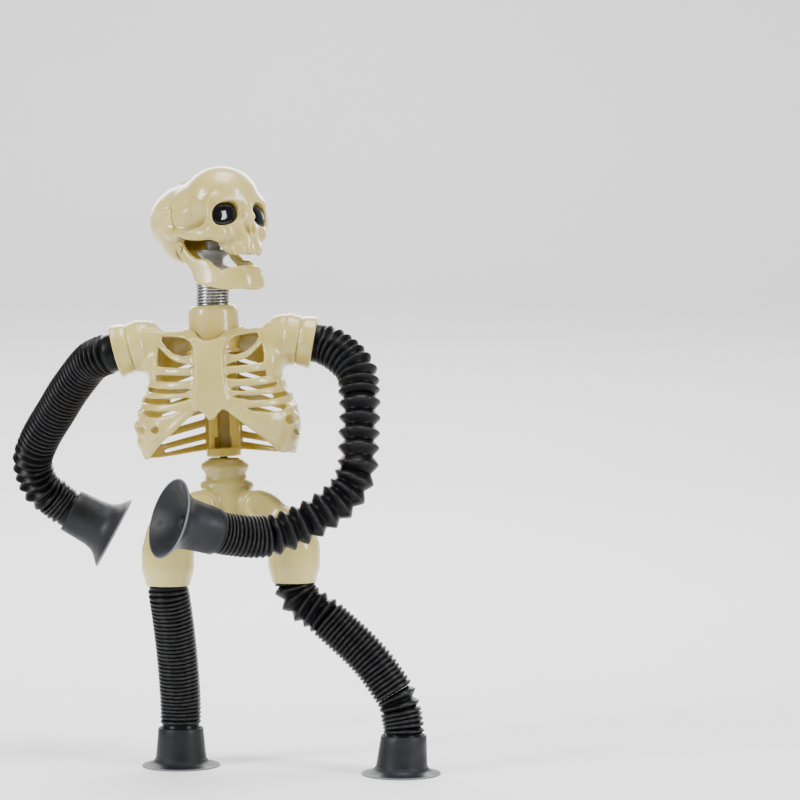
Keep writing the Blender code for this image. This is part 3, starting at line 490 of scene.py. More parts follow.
def skin(g, field):
    """Surface nets: one point in each cell that the surface crosses, one quad for each crossed edge."""
    v = np.pad(np.broadcast_to(field, g.shape), 1, constant_values=5.0)
    inside = v < 0
    n = v.shape
    count = np.zeros([k - 1 for k in n], np.int8)
    for i, j, k in itertools.product((0, 1), repeat=3):
        count += inside[i:n[0] - 1 + i, j:n[1] - 1 + j, k:n[2] - 1 + k]
    cells = np.argwhere((count > 0) & (count < 8))
    index = np.full(count.shape, -1, np.int64)
    index[tuple(cells.T)] = np.arange(len(cells))
    total = np.zeros((len(cells), 3))
    number = np.zeros(len(cells))
    for axis in range(3):
        step = np.eye(3, dtype=int)[axis]
        for pair in itertools.product((0, 1), repeat=2):
            corner = np.insert(np.array(pair), axis, 0)
            start = cells + corner
            a = v[tuple(start.T)]
            b = v[tuple((start + step).T)]
            crossed = (a < 0) != (b < 0)
            share = np.where(crossed, a / np.where(a == b, 1, a - b), 0)
            total[crossed] += (start + share[:, None] * step)[crossed]
            number += crossed
    points = g.low + (total / number[:, None] - 1) * g.step
    quads = []
    for axis in range(3):
        low = [slice(1, -1)] * 3
        high = [slice(1, -1)] * 3
        low[axis] = slice(0, -1)
        high[axis] = slice(1, None)
        a = inside[tuple(low)]
        edges = np.argwhere(a != inside[tuple(high)])
        outward = a[tuple(edges.T)]
        base = np.ones(3, int)
        base[axis] = 0
        edges = edges + base
        u = np.eye(3, dtype=int)[(axis + 1) % 3]
        w = np.eye(3, dtype=int)[(axis + 2) % 3]
        ring = [index[tuple((edges - s).T)] for s in (u + w, w, 0 * u, u)]
        quad = np.stack(ring, axis=1)
        quad[~outward] = quad[~outward][:, ::-1]
        quads.append(quad)
    return points, np.concatenate(quads)


def sample(g, field, points):
    """The field's value at the grid point nearest each point."""
    where = np.rint((points - g.low) / g.step).astype(int)
    where = np.clip(where, 0, np.array(g.shape) - 1)
    return np.broadcast_to(field, g.shape)[tuple(where.T)]


def bone(name, node, matrix, g, field, inner):
    """A bone from a field. inner is a second field, from 0 to 1: how much painted shade, a deeper, darker
    yellow, the plastic takes there.
    """
    points, quads = skin(g, field)
    painted_shade = np.clip(sample(g, inner, points), 0, 1)
    return make(name, node, "bone_plastic", through(matrix, points), quads, {"inner": painted_shade})


# --- turned and swept shapes


def eased(profile, radius):
    """A profile of (radius, height) points with its corners rounded."""
    p = [np.array(q, float) for q in profile]
    result = [p[0]]
    for a, b, c in zip(p, p[1:], p[2:]):
        before, after = np.linalg.norm(a - b), np.linalg.norm(c - b)
        reach = min(radius, before * 0.45, after * 0.45)
        start = b + (a - b) * (reach / max(before, 1e-9))
        end = b + (c - b) * (reach / max(after, 1e-9))
        for t in np.linspace(0, 1, 5):
            result.append((1 - t) ** 2 * start + 2 * t * (1 - t) * b + t * t * end)
    return result + [p[-1]]


def flowing(profile, steps=6):
    """A Catmull-Rom curve through profile points."""
    p = np.array(profile, float)
    p = np.vstack([2 * p[0] - p[1], p, 2 * p[-1] - p[-2]])
    t = np.linspace(0, 1, steps, endpoint=False)[:, None]
    spans = []
    for a, b, c, d in zip(p, p[1:], p[2:], p[3:]):
        bend, twist = 2 * a - 5 * b + 4 * c - d, 3 * b - a - 3 * c + d
        spans.append(0.5 * (2 * b + (c - a) * t + bend * t**2 + twist * t**3))
    return [tuple(q) for q in np.vstack(spans + [p[-2][None]])]


def turned(profile, base, axis, sides=72, lean=(0, 0, 0), wave=None):
    """A closed profile of (radius, height) turned about an axis; a radius of 0 is a pole.

    wave(radius, height, angle) gives an offset of (radius, height)."""
    m = np.array(Vector((0, 0, 1)).rotation_difference(Vector(axis)).to_matrix())
    turn = 2 * np.pi * (np.arange(sides) + 0.5) / sides
    points, rows, count = [], [], 0
    for radius, height in profile:
        if radius < 1e-6:
            ring = np.array([[0.0, 0.0, height]])
            rows.append([count] * sides)
        else:
            more_r, more_h = wave(radius, height, turn) if wave else (0 * turn, 0 * turn)
            r = radius + more_r
            ring = np.stack([r * np.cos(turn), r * np.sin(turn), height + more_h], axis=1)
            rows.append(list(range(count, count + sides)))
        points.append(ring @ m.T + np.array(base) + np.array(lean) * height)
        count += len(ring)
    faces = []
    pairs = list(zip(rows, rows[1:]))
    if profile[0][0] > 1e-6 or profile[-1][0] > 1e-6:
        pairs.append((rows[-1], rows[0]))
    for low, high in pairs:
        for k in range(sides):
            n = (k + 1) % sides
            face = tuple(dict.fromkeys((low[k], low[n], high[n], high[k])))
            if len(face) > 2:
                faces.append(face)
    points = np.vstack(points)
    return points, outward_faces(points, faces)


def outward_faces(points, faces):
    """Turns every face round if the closed shape is inside out."""
    volume = 0.0
    for face in faces:
        a = points[face[0]]
        for i, j in zip(face[1:], face[2:]):
            volume += a @ np.cross(points[i], points[j])
    return faces if volume > 0 else [tuple(reversed(face)) for face in faces]


def grid_faces(rings, sides, loop):
    k = np.arange(sides)
    n = (k + 1) % sides
    quads = []
    for i in range(rings if loop else rings - 1):
        j = (i + 1) % rings
        quads.append(np.stack([i * sides + k, i * sides + n, j * sides + n, j * sides + k], axis=1))
    return np.concatenate(quads)


class Limb:
    """A pop tube's centreline, read by the length along it. Lengths below 0 lie inside its socket."""

    def __init__(self, route, socket_axis):
        lead = np.array(socket_axis, float)
        mouth = np.array(route[0], float)
        curve = np.array(flowing([mouth, mouth + lead * STRAIGHT, *route[1:]], 24))
        steps = np.arange(LEAD_IN, 0.0, -MARK_STEP)[:, None]
        curve = np.vstack([curve[0] - lead * steps, curve])
        self.points = curve
        spans = np.linalg.norm(np.diff(curve, axis=0), axis=1)
        self.lengths = np.concatenate([[0.0], np.cumsum(spans)]) - LEAD_IN
        self.marks = np.arange(-LEAD_IN, self.lengths[-1], MARK_STEP)
        tangents = self.point(self.marks + CHORD) - self.point(self.marks - CHORD)
        self.tangents = tangents / np.linalg.norm(tangents, axis=1)[:, None]
        side = np.cross(lead, (0, 1, 0.1))
        sides = []
        for tangent in self.tangents:
            side = side - tangent * (side @ tangent)
            side /= np.linalg.norm(side)
            sides.append(side)
        self.sides = np.array(sides)

    def point(self, length):
        return np.stack([np.interp(length, self.lengths, self.points[:, k]) for k in range(3)], axis=-1)

    def read(self, length, table):
        return np.stack([np.interp(length, self.marks, table[:, k]) for k in range(3)], axis=-1)

    def place(self, length):
        return placed(self.point(np.array([length])))[0]

    def rings(self, lengths, radius):
        """Points of rings; radius is (rings, 1) or (rings, sides)."""
        centre = self.point(lengths)
        tangent = self.read(lengths, self.tangents)
        tangent /= np.linalg.norm(tangent, axis=1)[:, None]
        side = self.read(lengths, self.sides)
        side -= tangent * np.sum(side * tangent, axis=1)[:, None]
        side /= np.linalg.norm(side, axis=1)[:, None]
        up = np.cross(tangent, side)
        turn = 2 * np.pi * (np.arange(TUBE_SIDES) + 0.5) / TUBE_SIDES
        way = side[:, None] * np.cos(turn)[None, :, None] + up[:, None] * np.sin(turn)[None, :, None]
        return centre[:, None] + way * radius[..., None], way

    def stretch(self, lengths, way):
        """How far each side of the tube opens or shuts round a bend, as a factor on the pitch."""
        ahead = self.read(lengths + 1.5, self.tangents)
        behind = self.read(lengths - 1.5, self.tangents)
        bend = (ahead - behind) / 3.0
        return 1.0 - TUBE_PEAK * np.einsum("nkc,nc->nk", way, bend)

    def tube(self, start, runs, plug=0.0, head=0.0):
        """(points, faces, crest) of a hollow tube: a smooth head, runs of (end, folds), a smooth plug."""
        rows = []  # length, phase within a fold, pitch; a smooth stretch has phase -1 and its radius
        if head:
            rows += [(at, -1.0, BAND_RADIUS) for at in np.linspace(start - head, start, 8)]
        for end, folds in runs:
            pitch = (end - start) / folds
            steps = 10 if pitch < 3 else 14
            for i in range(folds * steps + 1):
                if i or not rows:
                    rows.append((start + pitch * i / steps, (i % steps) / steps, pitch))
            start = end
        if plug:
            rows += [(at, -1.0, PLUG_RADIUS) for at in np.linspace(start + 0.5, start + plug, 8)]
        lengths, phases, pitches = (np.array(column, float) for column in zip(*rows))
        lengths[0] += TUBE_TRIM
        lengths[-1] -= TUBE_TRIM
        _, way = self.rings(lengths, np.ones((len(lengths), 1)))
        local = np.clip(pitches[:, None] * self.stretch(lengths, way), 0.9, 9.0)
        share = np.clip((local - PITCH_SHUT) / (PITCH_OPEN - PITCH_SHUT), 0, 1)
        valley = VALLEY_SHUT + (VALLEY_OPEN - VALLEY_SHUT) * share
        # A shut fold is a round bead; an open one is a cone with a narrow round crest and root.
        lift = 0.5 - 0.5 * np.cos(2 * np.pi * phases)
        bead = np.sqrt(np.clip(1 - (2 * np.abs(phases - 0.5)) ** 2.6, 0, 1))[:, None]
        cone = np.clip(1 - 2 * np.abs(phases - 0.5), 0, 1)
        cone = (0.72 * cone + 0.28 * lift)[:, None]
        height = bead + (cone - bead) * np.clip(share * 2.2, 0, 1)
        folded = valley + (TUBE_PEAK - valley) * height
        plain = (phases < 0)[:, None]
        radius = np.where(plain, pitches[:, None], folded)
        outer, _ = self.rings(lengths, radius)
        # crest: how much paler the tube is drawn there; along the fold crests partly stress marks and dust,
        # partly painted highlight; smooth stretches take 0.15
        crest = np.where(plain, 0.15, height**6)
        steps = max(2, round((lengths[-1] - lengths[0]) / 4.0))
        back = np.linspace(lengths[-1], lengths[0], steps + 1)
        inner, _ = self.rings(back, np.full((len(back), 1), TUBE_BORE))
        points = np.concatenate([outer, inner]).reshape(-1, 3)
        faces = grid_faces(len(lengths) + len(back), TUBE_SIDES, True)
        marks = np.concatenate([crest.ravel(), np.zeros(inner.shape[0] * TUBE_SIDES)])
        return points, faces[:, ::-1], marks


# --- local frames


def torso_matrix():
    return Matrix.Translation(TORSO_ORIGIN) @ Matrix.Rotation(TORSO_LEAN, 4, "Y")


def head_matrix():
    spin = Matrix.Rotation(HEAD_YAW, 4, "Z") @ Matrix.Rotation(HEAD_PITCH, 4, "X")
    return Matrix.Translation(HEAD_ORIGIN) @ spin


def cuff_axis(sign):
    return Vector((sign * math.cos(CUFF_TILT), 0.0, -math.sin(CUFF_TILT)))


# --- torso


CAGE_LEVELS = np.array([
    (-1.0, 35.6, 19.5), (6.0, 37.6, 21.6), (14.5, 38.6, 23.0), (25.0, 35.6, 23.0), (34.0, 31.5, 22.4),
    (42.0, 29.5, 21.0), (49.0, 28.0, 18.6), (55.0, 25.5, 14.6), (59.5, 22.0, 9.5), (61.5, 18.0, 5.0),
])
CAGE_POWER = 2.4
WALL = 2.4
STERNUM_X = -1.8
RIB_FAT = 0.45  # what each rib gains at each edge


def cage_distance(g):
    """Distance to the closed barrel of the chest."""
    levels = np.array(flowing(CAGE_LEVELS, 8))
    wide = np.interp(g.z, levels[:, 0], levels[:, 1]).astype(np.float32)
    deep = np.interp(g.z, levels[:, 0], levels[:, 2]).astype(np.float32)
    q = (np.abs(g.x / wide) ** CAGE_POWER + np.abs(g.y / deep) ** CAGE_POWER) ** (1 / CAGE_POWER)
    slopes = np.gradient(q, g.step)
    return (q - 1) / np.maximum(np.sqrt(sum(s * s for s in slopes)), 0.012)


FRONT_GAPS = [  # corners of the gaps between the ribs of one side, in x and z, and their rounding
    ([
        (7.6, 50.0), (9.0, 53.2), (12.0, 55.2), (17.0, 56.0), (22.0, 56.2), (22.6, 54.6), (20.6, 51.2),
        (16.6, 48.2), (12.2, 46.9), (8.6, 47.6),
    ], 0.5),
    ([
        (7.4, 42.3), (10.5, 43.4), (15.0, 44.3), (19.0, 46.4), (22.4, 49.8), (24.2, 51.6), (24.9, 46.0),
        (24.7, 42.6), (19.0, 42.0), (13.0, 41.7), (8.0, 41.7),
    ], 0.35),
    ([
        (7.3, 37.0), (9.0, 38.1), (14.0, 38.2), (20.0, 38.6), (25.4, 38.9), (25.6, 36.2), (20.0, 35.5),
        (13.0, 35.4), (8.4, 35.9),
    ], 0.35),
    ([
        (9.0, 31.3), (11.0, 32.1), (18.0, 31.9), (25.0, 32.4), (30.2, 33.2), (29.4, 31.2), (22.0, 30.2),
        (14.0, 29.9), (10.0, 30.4),
    ], 0.35),
    ([
        (9.2, 27.7), (12.0, 28.1), (19.0, 27.6), (27.0, 27.9), (33.6, 28.6), (35.0, 26.6), (27.0, 25.2),
        (19.0, 25.2), (12.0, 26.6),
    ], 0.3),
    ([
        (15.6, 21.9), (19.0, 22.1), (26.0, 22.0), (33.0, 22.9), (36.0, 21.8), (33.0, 19.9), (26.0, 19.3),
        (19.0, 20.2),
    ], 0.3),
]
LOBE_HOLES = [
    ((34.2, -15.0, 15.4), (2.0, 9.0, 1.8)), ((37.6, -9.0, 9.4), (3.2, 2.4, 1.7)),
    ((27.6, -20.8, 14.8), (1.6, 1.6, 1.0)), ((-28.3, -18.0, 13.6), (1.7, 9.0, 1.5)),
    ((-36.0, -12.0, 13.4), (3.0, 2.6, 1.6)), ((-30.0, -19.8, 8.0), (1.3, 1.5, 1.0)),
]
BACK_ROWS = [  # level at the spine, half height, outer end, fall to it
    (5.6, 0.2, 27.0, 3.4), (11.2, 0.75, 28.5, 4.4), (17.6, 0.8, 28.5, 4.6), (24.2, 0.45, 28.0, 5.6),
    (31.0, 0.4, 23.5, 5.0), (37.6, 0.35, 22.5, 4.6), (44.0, 0.3, 21.5, 4.2),
]
MARGIN = [  # lower edge of the front: x from the breastbone, z
    (0, 16.9), (1.6, 17.8), (3.6, 20.6), (5.4, 21.8), (7.6, 20.9), (10.5, 18.7), (16.1, 13.8), (24.2, 7.2),
    (30.7, 0.2), (33.5, -0.4), (45.0, -0.4),
]


def torso_base(g):
    """The chest's shell with its shoulders and neck hole, and its painted shade: a field that darkens the
    barrel's inner faces, taken from the barrel's own distance.
    """
    cage = cage_distance(g)
    top = g.z - 60.4
    cage = -melt(-cage, -top, 2.5)
    for crest in (33.5, 27.5, 21.5):
        cage = cage - 0.7 * np.clip((np.abs(g.x) - 23.0) / 8.0, 0, 1) * ridge(g.z - crest, 1.7)
    solid = cage
    for sign in (-1, 1):
        axis = cuff_axis(sign)
        end = Vector((sign * CUFF_FACE.x, 0, CUFF_FACE.z)) - axis * (CUFF_LENGTH + 0.3)
        horn = rod(g, (sign * 21.5, -0.5, 50.8, 10.8), (*(end - axis * 6.0), 11.2))
        horn = melt(horn, post(g, end - Vector((0, 0, 0.5)), axis, 11.6, -5.0, 0.0), 3.0)
        horn = melt(horn, blob(g, (sign * 25.5, -3.0, 42.0), (6.5, 12.5, 9.5), (0, sign * 12, 0)), 4.0)
        solid = melt(solid, horn, 3.5)
    room = np.maximum(cage + WALL, -(g.z + 40))
    body = carve(solid, room, 0.8)
    for sign in (-1, 1):
        axis = cuff_axis(sign)
        face = Vector((sign * CUFF_FACE.x, 0, CUFF_FACE.z))
        body = carve(body, post(g, face, axis, SHOULDER_BORE, -34.0, 5.0), 0.5)
    body = carve(body, post(g, (0, 0, 0), (0, 0, 1), COLLAR_RADIUS + COLLAR_GAP, 40.0, 90.0), 0.8)
    body = carve(body, post(g, (0, 0, 0), (0, 0, 1), COLLAR_RADIUS + 1.6, 59.0, 90.0), 1.0)
    body = np.maximum(body, -1.0 - g.z)
    # painted shade: from 0 on the barrel's outer face to 1 on its inner faces
    painted_shade = np.clip((-cage - 0.7) / 1.2, 0, 1)
    return body, painted_shade


def breastbone(g):
    """The flat plate between the ribs, and its pointed lower end."""
    front = -22.4 + 0.0042 * (g.z - 28) ** 2
    edge = np.interp(g.z, [14, 17, 20, 26, 34, 42, 48, 54, 60], [0.3, 2.2, 5.6, 7.6, 6.6, 6.4, 6.8, 8.8, 9.5])
    across = np.abs(g.x - STERNUM_X) - edge
    plate = -melt(-across, -(np.abs(g.y - front) - 1.5), 1.4)
    return -melt(-plate, -np.maximum(16.2 - g.z, g.z - 55.5), 1.4)


def flat(g, corners, edge, mirror):
    """Gap seen from the front, cut on both sides of the breastbone."""
    x = g.x[:, 0, :]
    z = g.z[:, 0, :]
    gaps = [outline(sign * (x - mirror), z, corners, edge) for sign in (-1, 1)]
    return np.minimum(*gaps)[:, None, :]


def build_torso():
    place = torso_matrix()
    g = Grid((-46.5, -26.5, -3.5), (46.5, 27.5, 65.5), 0.5)
    base, painted_shade = torso_base(g)

    front = melt(base, breastbone(g), 2.6)
    for corners, edge in FRONT_GAPS:
        gap = flat(g, corners, edge - RIB_FAT, STERNUM_X * 0.75)
        front = np.where(g.y < -2.0, carve(front, gap, 1.5), front)
    x, z = g.x - STERNUM_X, g.z
    margin = np.array(MARGIN)
    under = np.interp(np.abs(x), margin[:, 0], margin[:, 1]) - z
    front = carve(front, np.maximum(-under * 0.8, g.y + 1.5), 1.6)
    rolled = line_gap(np.abs(x), z + 0 * x, [(10.5, 20.4), (16.1, 15.6), (24.2, 9.0), (31.5, 2.4)])
    front = front - 0.55 * ridge(rolled, 1.5)
    for sign in (-1, 1):
        for at, r in (((36.2, -9.5, 15.8), 2.4), ((35.6, -8.0, 7.4), 2.0), ((34.8, -12.5, 20.4), 1.7)):
            front = melt(front, blob(g, (sign * at[0], at[1], at[2]), (r, r * 1.3, r)), 2.5)
    for at, radii in LOBE_HOLES:
        hole = blob(g, at, radii)
        rim = melt(front, np.abs(hole - 0.5) - 0.5, 1.0)
        raised = np.minimum(front, np.maximum(rim, front - 0.5))
        front = carve(np.where(g.y < -6, raised, front), hole, 1.2)
    notch = post(g, (STERNUM_X, -30, 60.6), (0, 1, 0), 6.5, 0.0, 30.0)
    front = carve(front, notch, 2.0)
    front = np.maximum(front, g.y + SHELL_GAP)
    obj = bone("ribcage_front_shell", "ribcage_front", place, g, front, painted_shade)
    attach(obj, "torso")

    back = base
    for low, half, reach, fall in BACK_ROWS:
        far = low - fall
        ends = [(9.4, low + half), (reach, far + half), (reach + 0.6, far - half), (9.4, low - half)]
        gap = flat(g, ends, 0.45, 1.0)
        back = np.where(g.y > 3.0, carve(back, gap, 1.4), back)
    dip = np.interp(np.abs(g.x), [0, 9, 30, 36.5, 46], [1.5, 1.2, -1.2, -1.0, -1.0]) - g.z
    back = carve(back, np.maximum(-dip, 1.5 - g.y), 1.2)
    column = slab(g, (SPINE_X + 0.7, 17.4, 21.5), (7.2, 5.9, 22.6), 1.4)
    column = carve(column, slab(g, (SPINE_X + 0.7, 12.0, 21.5), (2.7, 5.6, 40.0), 0.6), 0.8)
    for i in range(7):
        level = 3.6 + 6.9 * i
        knob = rod(g, (SPINE_X, 20.5, level + 1.0, 1.9), (SPINE_X, 24.6 - 0.35 * i, level - 0.8, 1.2))
        column = melt(column, knob, 1.8)
    column = np.maximum(column, -1.0 - g.z)
    back = melt(back, column, 1.2)
    washer = post(g, (SPINE_X, SPINE_Y, 0), (0, 0, 1), 7.9, -1.1, 2.2) - 0.3
    back = melt(back, washer, 0.8)
    back = carve(back, post(g, (SPINE_X, SPINE_Y, 0), (0, 0, 1), 2.3, -9.0, 9.0), 0.3)
    back = carve(back, post(g, (SPINE_X, SPINE_Y, 0), (0, 0, 1), 4.0, 2.5, 7.6), 0.3)
    back = np.maximum(back, SHELL_GAP - g.y)
    # painted shade down the spine's channel in the back shell
    channel_shade = 0.55 * (g.y < 16.5) * (np.abs(g.x - SPINE_X) < 3.4)
    obj = bone("ribcage_back_shell", "ribcage_back", place, g, back, np.maximum(painted_shade, channel_shade))
    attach(obj, "torso")


def build_shoulders():
    place = torso_matrix()
    turn = np.array(place.to_3x3())
    profile = eased([
        (8.2, -14.0), (8.2, -7.5), (10.9, -7.5), (11.9, -5.4), (12.15, -2.4), (CUFF_RADIUS + 0.1, -0.6),
        (CUFF_RADIUS - 0.4, 0.0), (CUFF_BORE, 0.0), (CUFF_BORE, -6.8), (6.4, -6.8), (6.4, -14.0),
    ], 0.7)

    def ragged(radius, height, turn):
        share = max(0.0, min(1.0, (radius - 10.6) / 1.2)) * max(0.0, min(1.0, -height / 7.0))
        outward = share * (0.22 * np.sin(5 * turn + 0.6) + 0.16 * np.sin(11 * turn))
        return outward, share * 0.35 * np.sin(7 * turn + 1.0)

    for side, sign in (("right", -1), ("left", 1)):
        face = Vector((sign * CUFF_FACE.x, 0, CUFF_FACE.z))
        points, faces = turned(profile, place @ face, turn @ np.array(cuff_axis(sign)), 96, wave=ragged)
        node = f"shoulder_cuff_{side}"
        plain = {"inner": np.zeros(len(points))}
        obj = make(f"shoulder_ring_{side}", node, "bone_plastic", points, faces, plain, 50)
        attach(obj, f"{side}_shoulder")

    collar = eased([
        (13.4, COLLAR_BOTTOM), (13.4, COLLAR_BOTTOM + 1.2), (COLLAR_RADIUS, COLLAR_BOTTOM + 1.2),
        (COLLAR_RADIUS, 66.0), (11.5, 68.2), (10.5, 69.8), (9.6, COLLAR_TOP),
        (COLLAR_BORE, COLLAR_TOP - 0.2), (COLLAR_BORE, SPRING_SEAT),
        (3.0, SPRING_SEAT), (3.0, COLLAR_BOTTOM),
    ], 0.9)
    points, faces = turned(collar, place @ Vector((0, 0, 0)), turn @ np.array((0, 0, 1.0)), 96)
    # painted shade on the collar's lower part, where it sits inside the chest
    inner = np.clip((TORSO_ORIGIN.z + 56.0 - points[:, 2]) / 4.0, 0, 1)
    obj = make("neck_socket", "neck_collar", "bone_plastic", points, faces, {"inner": inner}, 50)
    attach(obj, "neck_base")


# --- head


def skull_field(g):
    forehead = blob(g, (0, -11, 26.0), (18.4, 17.6, 16.2))
    skull = melt(forehead, blob(g, (0, 9.2, 21.8), (20.8, 19.6, 17.0)), 6.0)
    skull = melt(skull, blob(g, (0, -1, 22.0), (19.4, 17.0, 16.0)), 2.0)
    skull = melt(skull, blob(g, (0, 12, 10.0), (13.0, 12.0, 9.0)), 4.0)
    face = melt(blob(g, (0, -18, 9.0), (12.0, 9.0, 9.0)), blob(g, (0, -21.0, 2.2), (9.6, 7.4, 5.6)), 3.0)
    for sign in (-1, 1):
        face = melt(face, blob(g, (sign * 10.2, -20.3, 23.2), (7.6, 4.6, 3.4), (0, sign * 8, 0)), 3.0)
        face = melt(face, chain(g, [
            (sign * 15.2, -21.0, 23.0, 2.0), (sign * 15.9, -20.6, 19.2, 1.7), (sign * 15.8, -18.9, 15.2, 2.1),
            (sign * 15.0, -17.6, 10.6, 3.6), (sign * 12.0, -19.5, 8.4, 4.4),
        ]), 2.2)
        face = melt(face, chain(g, [
            (sign * 15.4, -17.0, 9.6, 3.4), (sign * 17.8, -12.0, 9.3, 2.7), (sign * 18.9, -5.5, 10.1, 2.2),
            (sign * 18.8, 1.0, 11.9, 2.2), (sign * 17.8, 6.0, 14.0, 2.6),
        ]), 2.0)
    face = melt(face, rod(g, (0, -25.2, 21.5, 2.6), (0, -28.4, 14.4, 2.3)), 2.6)
    face = melt(face, blob(g, (0, -25.0, 8.0), (5.0, 3.4, 7.0)), 2.2)
    skull = melt(skull, face, 3.2)
    for sign in (-1, 1):
        skull = carve(skull, blob(g, (sign * 21.6, -12.8, 19.0), (3.6, 5.6, 6.2)), 2.6)
        skull = carve(skull, blob(g, (sign * 7.6, -27.3, 5.2), (2.0, 2.4, 3.6), (0, 0, sign * 15)), 2.4)
        skull = carve(skull, blob(g, (sign * 2.0, -28.6, 9.4), (1.6, 3.2, 3.6), (0, sign * 14, 0)), 1.0)
        crest = line_gap(g.y, g.z, [
            (-21.8, 26.0), (-20.4, 20.0), (-19.0, 15.8), (-12.8, 12.6), (-5.5, 11.6), (1.0, 13.2),
        ])
        skull = skull - 0.8 * np.clip((sign * g.x - 11.0) / 3.0, 0, 1) * ridge(crest, 1.3)
        crease = line_gap(g.y, g.z, [(-6.6, 24.6), (3.8, 24.4), (11.6, 22.9)])
        lower = line_gap(g.y, g.z, [(11.6, 22.6), (2.8, 16.2)])
        beside = np.clip((np.abs(g.x) - 13.0) / 4.0, 0, 1) * 0.5
        skull = skull + beside * (0.45 * ridge(crease, 1.3) + 0.3 * ridge(lower, 1.2))
        upper = line_gap(g.y, g.z, [(-6.0, 27.0), (4.0, 26.8), (12.4, 25.0)])
        skull = skull - beside * 0.4 * ridge(upper, 1.5)
    return skull


def eye_plan(g, sign):
    """Distance outside an eye's outline, seen along the eye's own axis, and distance ahead of its rim."""
    turn = math.radians(14.0)
    x, y, z = g.x - sign * EYE[0], g.y - EYE[1], g.z - EYE[2]
    u = x * math.cos(turn) + y * sign * math.sin(turn)
    ahead = x * sign * math.sin(turn) - y * math.cos(turn)
    lowered = z + 0.14 * sign * u
    across = ((np.abs(u) / 6.7) ** 2.5 + (np.abs(lowered) / 5.3) ** 2.5) ** 0.4
    return (across - 1) * 5.8, ahead


def build_head():
    place = head_matrix()
    g = Grid((-23.5, -33.0, -6.5), (23.5, 30.5, 45.0), 0.5)
    skull = skull_field(g)
    outside = skull.copy()
    for i in range(-3, 4):
        angle = math.radians(19.0 * i)
        x, y = 9.0 * math.sin(angle), -18.6 - 8.6 * math.cos(angle)
        tooth = blob(g, (x, y, -0.4), (1.7, 1.6, 2.5), (0, 0, math.degrees(angle)))
        skull = melt(skull, tooth, 1.1)
    for sign in (-1, 1):
        across, ahead = eye_plan(g, sign)
        bead = np.hypot(across - 0.9, ahead + 1.0) - 0.9
        skull = melt(skull, bead, 1.8)
        skull = carve(skull, np.maximum(across, -ahead - 4.6), 0.6)
    room = blob(g, (0, 3.0, 20.5), (16.4, 18.5, 14.0))
    skull = carve(skull, room, 0.8)
    skull = carve(skull, slab(g, (0, -1.0, -2.0), (12.5, 13.0, 18.0), 3.0), 1.0)
    skull = carve(skull, slab(g, (0, -16.5, -4.0), (6.2, 7.0, 6.4), 2.5), 0.8)
    for sign in (-1, 1):
        skull = carve(skull, blob(g, (sign * 16.3, 2.2, 4.0), (2.9, 6.0, 7.4)), 0.6)
        window = outline(g.y[0], g.z[0], [
            (-15.0, 4.4), (-4.4, 7.6), (-0.5, 10.2), (3.5, 9.0), (4.0, -8.0), (-19.0, -8.0),
        ], 0.8)
        skull = carve(skull, np.maximum(window[None], 9.5 - sign * g.x), 1.0)
    skull = carve(skull, post(g, (0, PEG_Y, 0), (0, 0, 1), 1.3, 28.0, 60.0), 0.3)
    # painted shade on the faces inside the skull's envelope
    painted_shade = np.clip((-outside - 0.9) / 1.2, 0, 1)
    front = np.maximum(skull, g.y - SEAM_Y + SEAM_GAP)
    obj = bone("skull_face", "skull_front", place, g, front, painted_shade)
    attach(obj, "head")
    obj = bone("skull_cranium", "skull_back", place, g, np.maximum(skull, SEAM_Y + SEAM_GAP - g.y), painted_shade)
    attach(obj, "head")

    turn = np.array(place.to_3x3())
    up = turn @ np.array((0, 0, 1.0))
    peg = eased([(0, 35.0), (0.9, 35.0), (0.9, 39.4), (1.7, 39.9), (1.6, 41.2), (0.8, 41.8), (0, 41.8)], 0.4)
    points, faces = turned(peg, place @ Vector((0, PEG_Y, 0)), up, 32)
    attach(make("crown_stud", "crown_peg", "pale_peg_plastic", points, faces, None, 50), "head")
    for side, sign in (("right", -1), ("left", 1)):
        small = Grid((sign * EYE[0] - 8.5, -28.0, 10.0), (sign * EYE[0] + 8.5, -15.0, 24.0), 0.3)
        across, ahead = eye_plan(small, sign)
        dome = ahead - 0.5 + 0.035 * ((across + 5.8) ** 2)
        glass = carve(np.maximum(across + 0.25, -ahead - 4.2), -dome, 0.8)
        points, quads = skin(small, glass)
        obj = make(f"eyeball_{side}", f"eye_{side}", "gloss_black", through(place, points), quads)
        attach(obj, "head")
        start = Vector((sign * JAW_PIN[0], JAW_PIN[1], JAW_PIN[2]))
        pin = eased([(0, 0), (1.2, 0), (1.5, 0.3), (1.5, 0.8), (0.8, 0.9), (0.8, 4.6), (0, 4.6)], 0.2)
        points, faces = turned(pin, place @ start, turn @ np.array((-sign, 0, 0.0)), 32)
        plain = {"inner": np.zeros(len(points))}
        obj = make(f"jaw_rivet_{side}", f"jaw_pin_{side}", "bone_plastic", points, faces, plain, 50)
        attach(obj, "head")

    spool = eased([
        (0, 235.2), (8.4, 235.2), (8.4, 237.0), (6.2, 237.8), (4.8, 239.2), (4.8, 240.8), (6.6, 242.4),
        (7.6, 243.4), (7.6, 245.0), (3.6, 245.2), (3.6, 249.5), (0, 249.5),
    ], 0.5)
    points, faces = turned(spool, (HEAD_ORIGIN.x, HEAD_ORIGIN.y, 0), (0, 0, 1), 72)
    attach(make("neck_bobbin", "neck_spool", "grey_plastic", points, faces, None, 50), "head")


